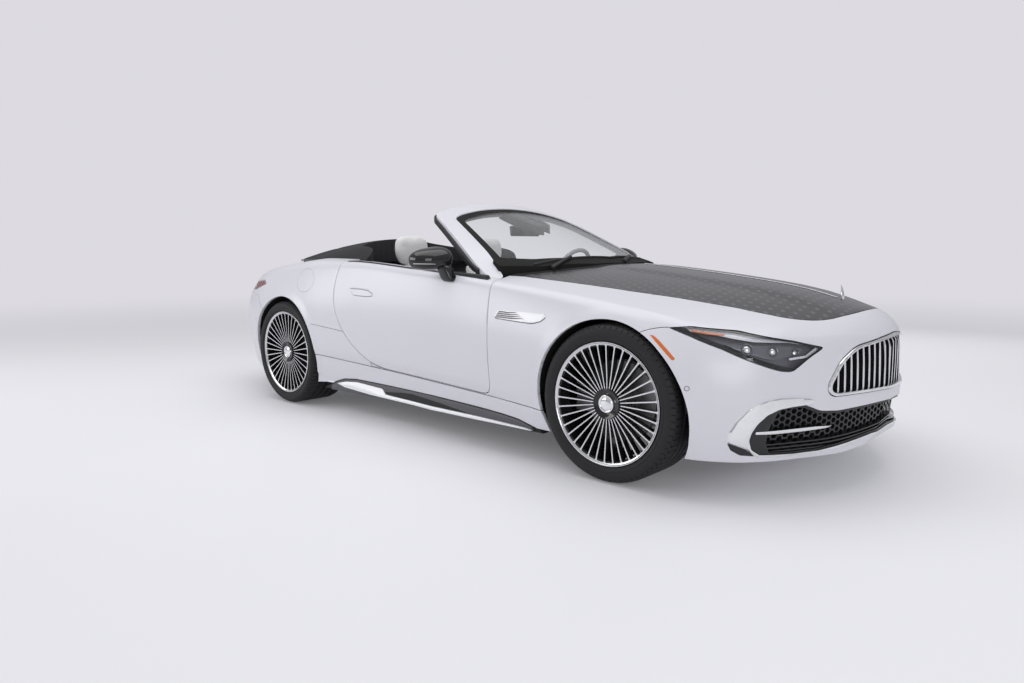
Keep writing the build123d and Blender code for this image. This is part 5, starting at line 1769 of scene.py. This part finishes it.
seatPads = (
    # name, low, high, edge, lean, cap, fill
    ("seatCushion", (-0.300, -0.158, 0.360), (0.160, 0.158, 0.452), 0.034, 0, 0.022, 0.7),
    ("seatBolster", (-0.310, -0.232, 0.350), (0.150, -0.165, 0.476), 0.028, 0, 0.011, 0.9),
    ("seatFront", (0.1700, -0.200, 0.375), (0.196, 0.200, 0.470), 0.011, 0, 0.012, 0.8),
    ("seatBack", (-0.400, -0.150, 0.480), (-0.342, 0.150, 0.900), 0.028, -19.5, 0.016, 0.7),
    ("seatShoulder", (-0.425, -0.234, 0.455), (-0.345, 0.234, 0.975), 0.030, -19.5, 0.010, 0.9),
    ("seatHeadrest", (-0.622, -0.130, 0.966), (-0.538, 0.130, 1.150), 0.038, 0, 0.016, 0.8),
)
seatOutlines = {
    "seatShoulder": ((-0.234, 0.455), (0.234, 0.455), (0.236, 0.800), (0.190, 0.930), (0.120, 0.975), (-0.120, 0.975),
                     (-0.190, 0.930), (-0.236, 0.800)),
    "seatHeadrest": ((-0.102, 0.964), (0.102, 0.964), (0.136, 1.045), (0.118, 1.152), (-0.118, 1.152), (-0.136, 1.045)),
}
# places of the sewn lines, facing, and the axis and span that they stay within
seatChannels = {
    "seatCushion": ((-0.105, -0.0525, 0, 0.0525, 0.105), (0, 0, 1), (0, -0.27, 0.13)),
    "seatBack": ((-0.100, -0.05, 0, 0.05, 0.100), (0.94, 0, 0.33), (2, 0.50, 0.87)),
}
seatPieces = []
for name, low, high, edge, turn, cap, fill in seatPads:
    outline = seatOutlines.get(name)
    pad = softBlock(name, low, high, edge, rounded(outline, 0.07, 8) if outline else None)
    if turn:
        lean(pad, turn, "Y", np.array(seat["leanCentre"]))
    points = placeOf(pad)
    if name == "seatCushion":
        points[:, 2] += (points[:, 0] + 0.30) * 0.05
    if name == "seatHeadrest":
        points[:, 0] -= 0.012 * (points[:, 2] - 0.972) / 0.168
    setPlace(pad, points)
    plump(pad, cap)
    modify(pad, "SUBSURF", levels=1, render_levels=1)
    if name in seatChannels:
        places, facing, over = seatChannels[name]
        channels(pad, places, 1, 0.007, 0.006, facing, over)
    modify(pad, "DECIMATE", ratio=seat["thinned"])
    seatPieces.append((pad, fill))
    if name == "seatBolster":
        seatPieces.append((mirrorOf(pad, name + "Inner"), fill))
for name, outline, half, finish, edge in (
    ("seatShell", ((-0.400, 0.340), (-0.475, 0.340), (-0.603, 0.925), (-0.590, 0.950), (-0.560, 0.945)), 0.224,
     "paleLeather", 0.012),
    ("seatPan", ((-0.460, 0.335), (-0.440, 0.372), (0.150, 0.372), (0.190, 0.400), (0.185, 0.345), (0.120, 0.335)),
     0.238, "paleLeather", 0.008),
    ("seatBase", ((-0.395, 0.207), (-0.395, 0.334), (0.115, 0.334), (0.115, 0.207)), 0.188, "blackTrim", 0.008),
    ("seatNeck", ((-0.590, 0.900), (-0.595, 1.010), (-0.556, 1.010), (-0.545, 0.900)), 0.062, "paleLeather", 0.01),
):
    part = prism(outline, "Y", -half, half, name)
    roundEdges(part, edge, 3, 40)
    seatPieces.append((part, finish))
for part, kind in seatPieces:
    # kind is a hard part's finish, or a pad's fill
    hard = isinstance(kind, str)
    name = part.name
    for side, sign in (("right", -1), ("left", 1)):
        piece = part if side == "left" else copyOf(part, name)
        piece.name = name + side.capitalize()
        setPlace(piece, placeOf(piece) + (0, sign * seat["across"], 0))
        finishPiece(piece, "body_shell", kind if hard else "paleLeather", "light_leather", [f"seat_{side}"], 60)
        not hard
print("seats built")

# Rear bench
bench = {
    "channels": (0.11, 0.20, 0.29, 0.38, 0.47),
    "shell": ((-0.645, 0.410), (-0.645, 0.480), (-0.815, 0.470), (-0.838, 0.560), (-0.852, 0.898), (-0.873, 0.898),
              (-0.873, 0.207), (-0.822, 0.207), (-0.822, 0.410)),
}
for name, low, high, edge, cap, facing in (
    ("benchCushion", (-0.805, 0.020, 0.462), (-0.662, 0.530, 0.530), 0.026, 0.014, (0, 0, 1)),
    ("benchBack", (-0.8500, 0.020, 0.562), (-0.8340, 0.530, 0.880), 0.0075, 0.007, (1, 0, 0)),
):
    pad = softBlock(name, low, high, edge)
    plump(pad, cap)
    modify(pad, "SUBSURF", levels=1, render_levels=1)
    channels(pad, bench["channels"], 1, 0.005, 0.006, facing, None)
    modify(pad, "DECIMATE", ratio=seat["thinned"])
    twin = mirrorOf(pad, name + "Right")
    pad.name = name + "Left"
    for piece in (pad, twin):
        finishPiece(piece, "body_shell", "paleLeather", "light_leather", ["rear_bench"], 60)
benchShell = prism(bench["shell"], "Y", -0.558, 0.558, "benchShell")
roundEdges(benchShell, 0.006, 2, 40)
finishPiece(benchShell, "body_shell", "darkLeather", "dark_trim", ["rear_bench"])
print("bench built")

# Engine: plain block under a ribbed cover
block = box("engineBlock", (0.765, -0.262, 0.310), (1.495, 0.262, 0.690), 0.03, 3)
finishPiece(block, "body_shell", "castMetal", "cast_metal", ["engine"])
ribs = [box("engineCover", (0.820, -0.225, 0.680), (1.450, 0.225, 0.762), 0.03, 4)]
for k in range(9):
    ribs.append(box("rib", (0.860, -0.169 + k * 0.042, 0.755), (1.410, -0.155 + k * 0.042, 0.772), 0.004))
finishPiece(joined("engineCover", ribs), "body_shell", "blackTrim", "cast_metal", ["engine"])
print("engine built")

for obj in list(bpy.data.objects):
    if obj.get("cutter"):
        bpy.data.objects.remove(obj)
bpy.data.objects.remove(skinSource)

# the solids still shown get their own finishes
shownFinishes = {
    "floor_pan": "carpet", "front_structure": "darkInner", "rear_structure": "darkInner",
    "front_subframe": "castMetal", "rear_subframe": "castMetal", "knuckle_": "castMetal", "rear_carrier_": "castMetal",
}
for name, node in frame["nodes"].items():
    finish = [value for key, value in shownFinishes.items() if name.startswith(key)] or ["darkInner"]
    node.data.materials.clear()
    node.data.materials.append(finishes[finish[0]])
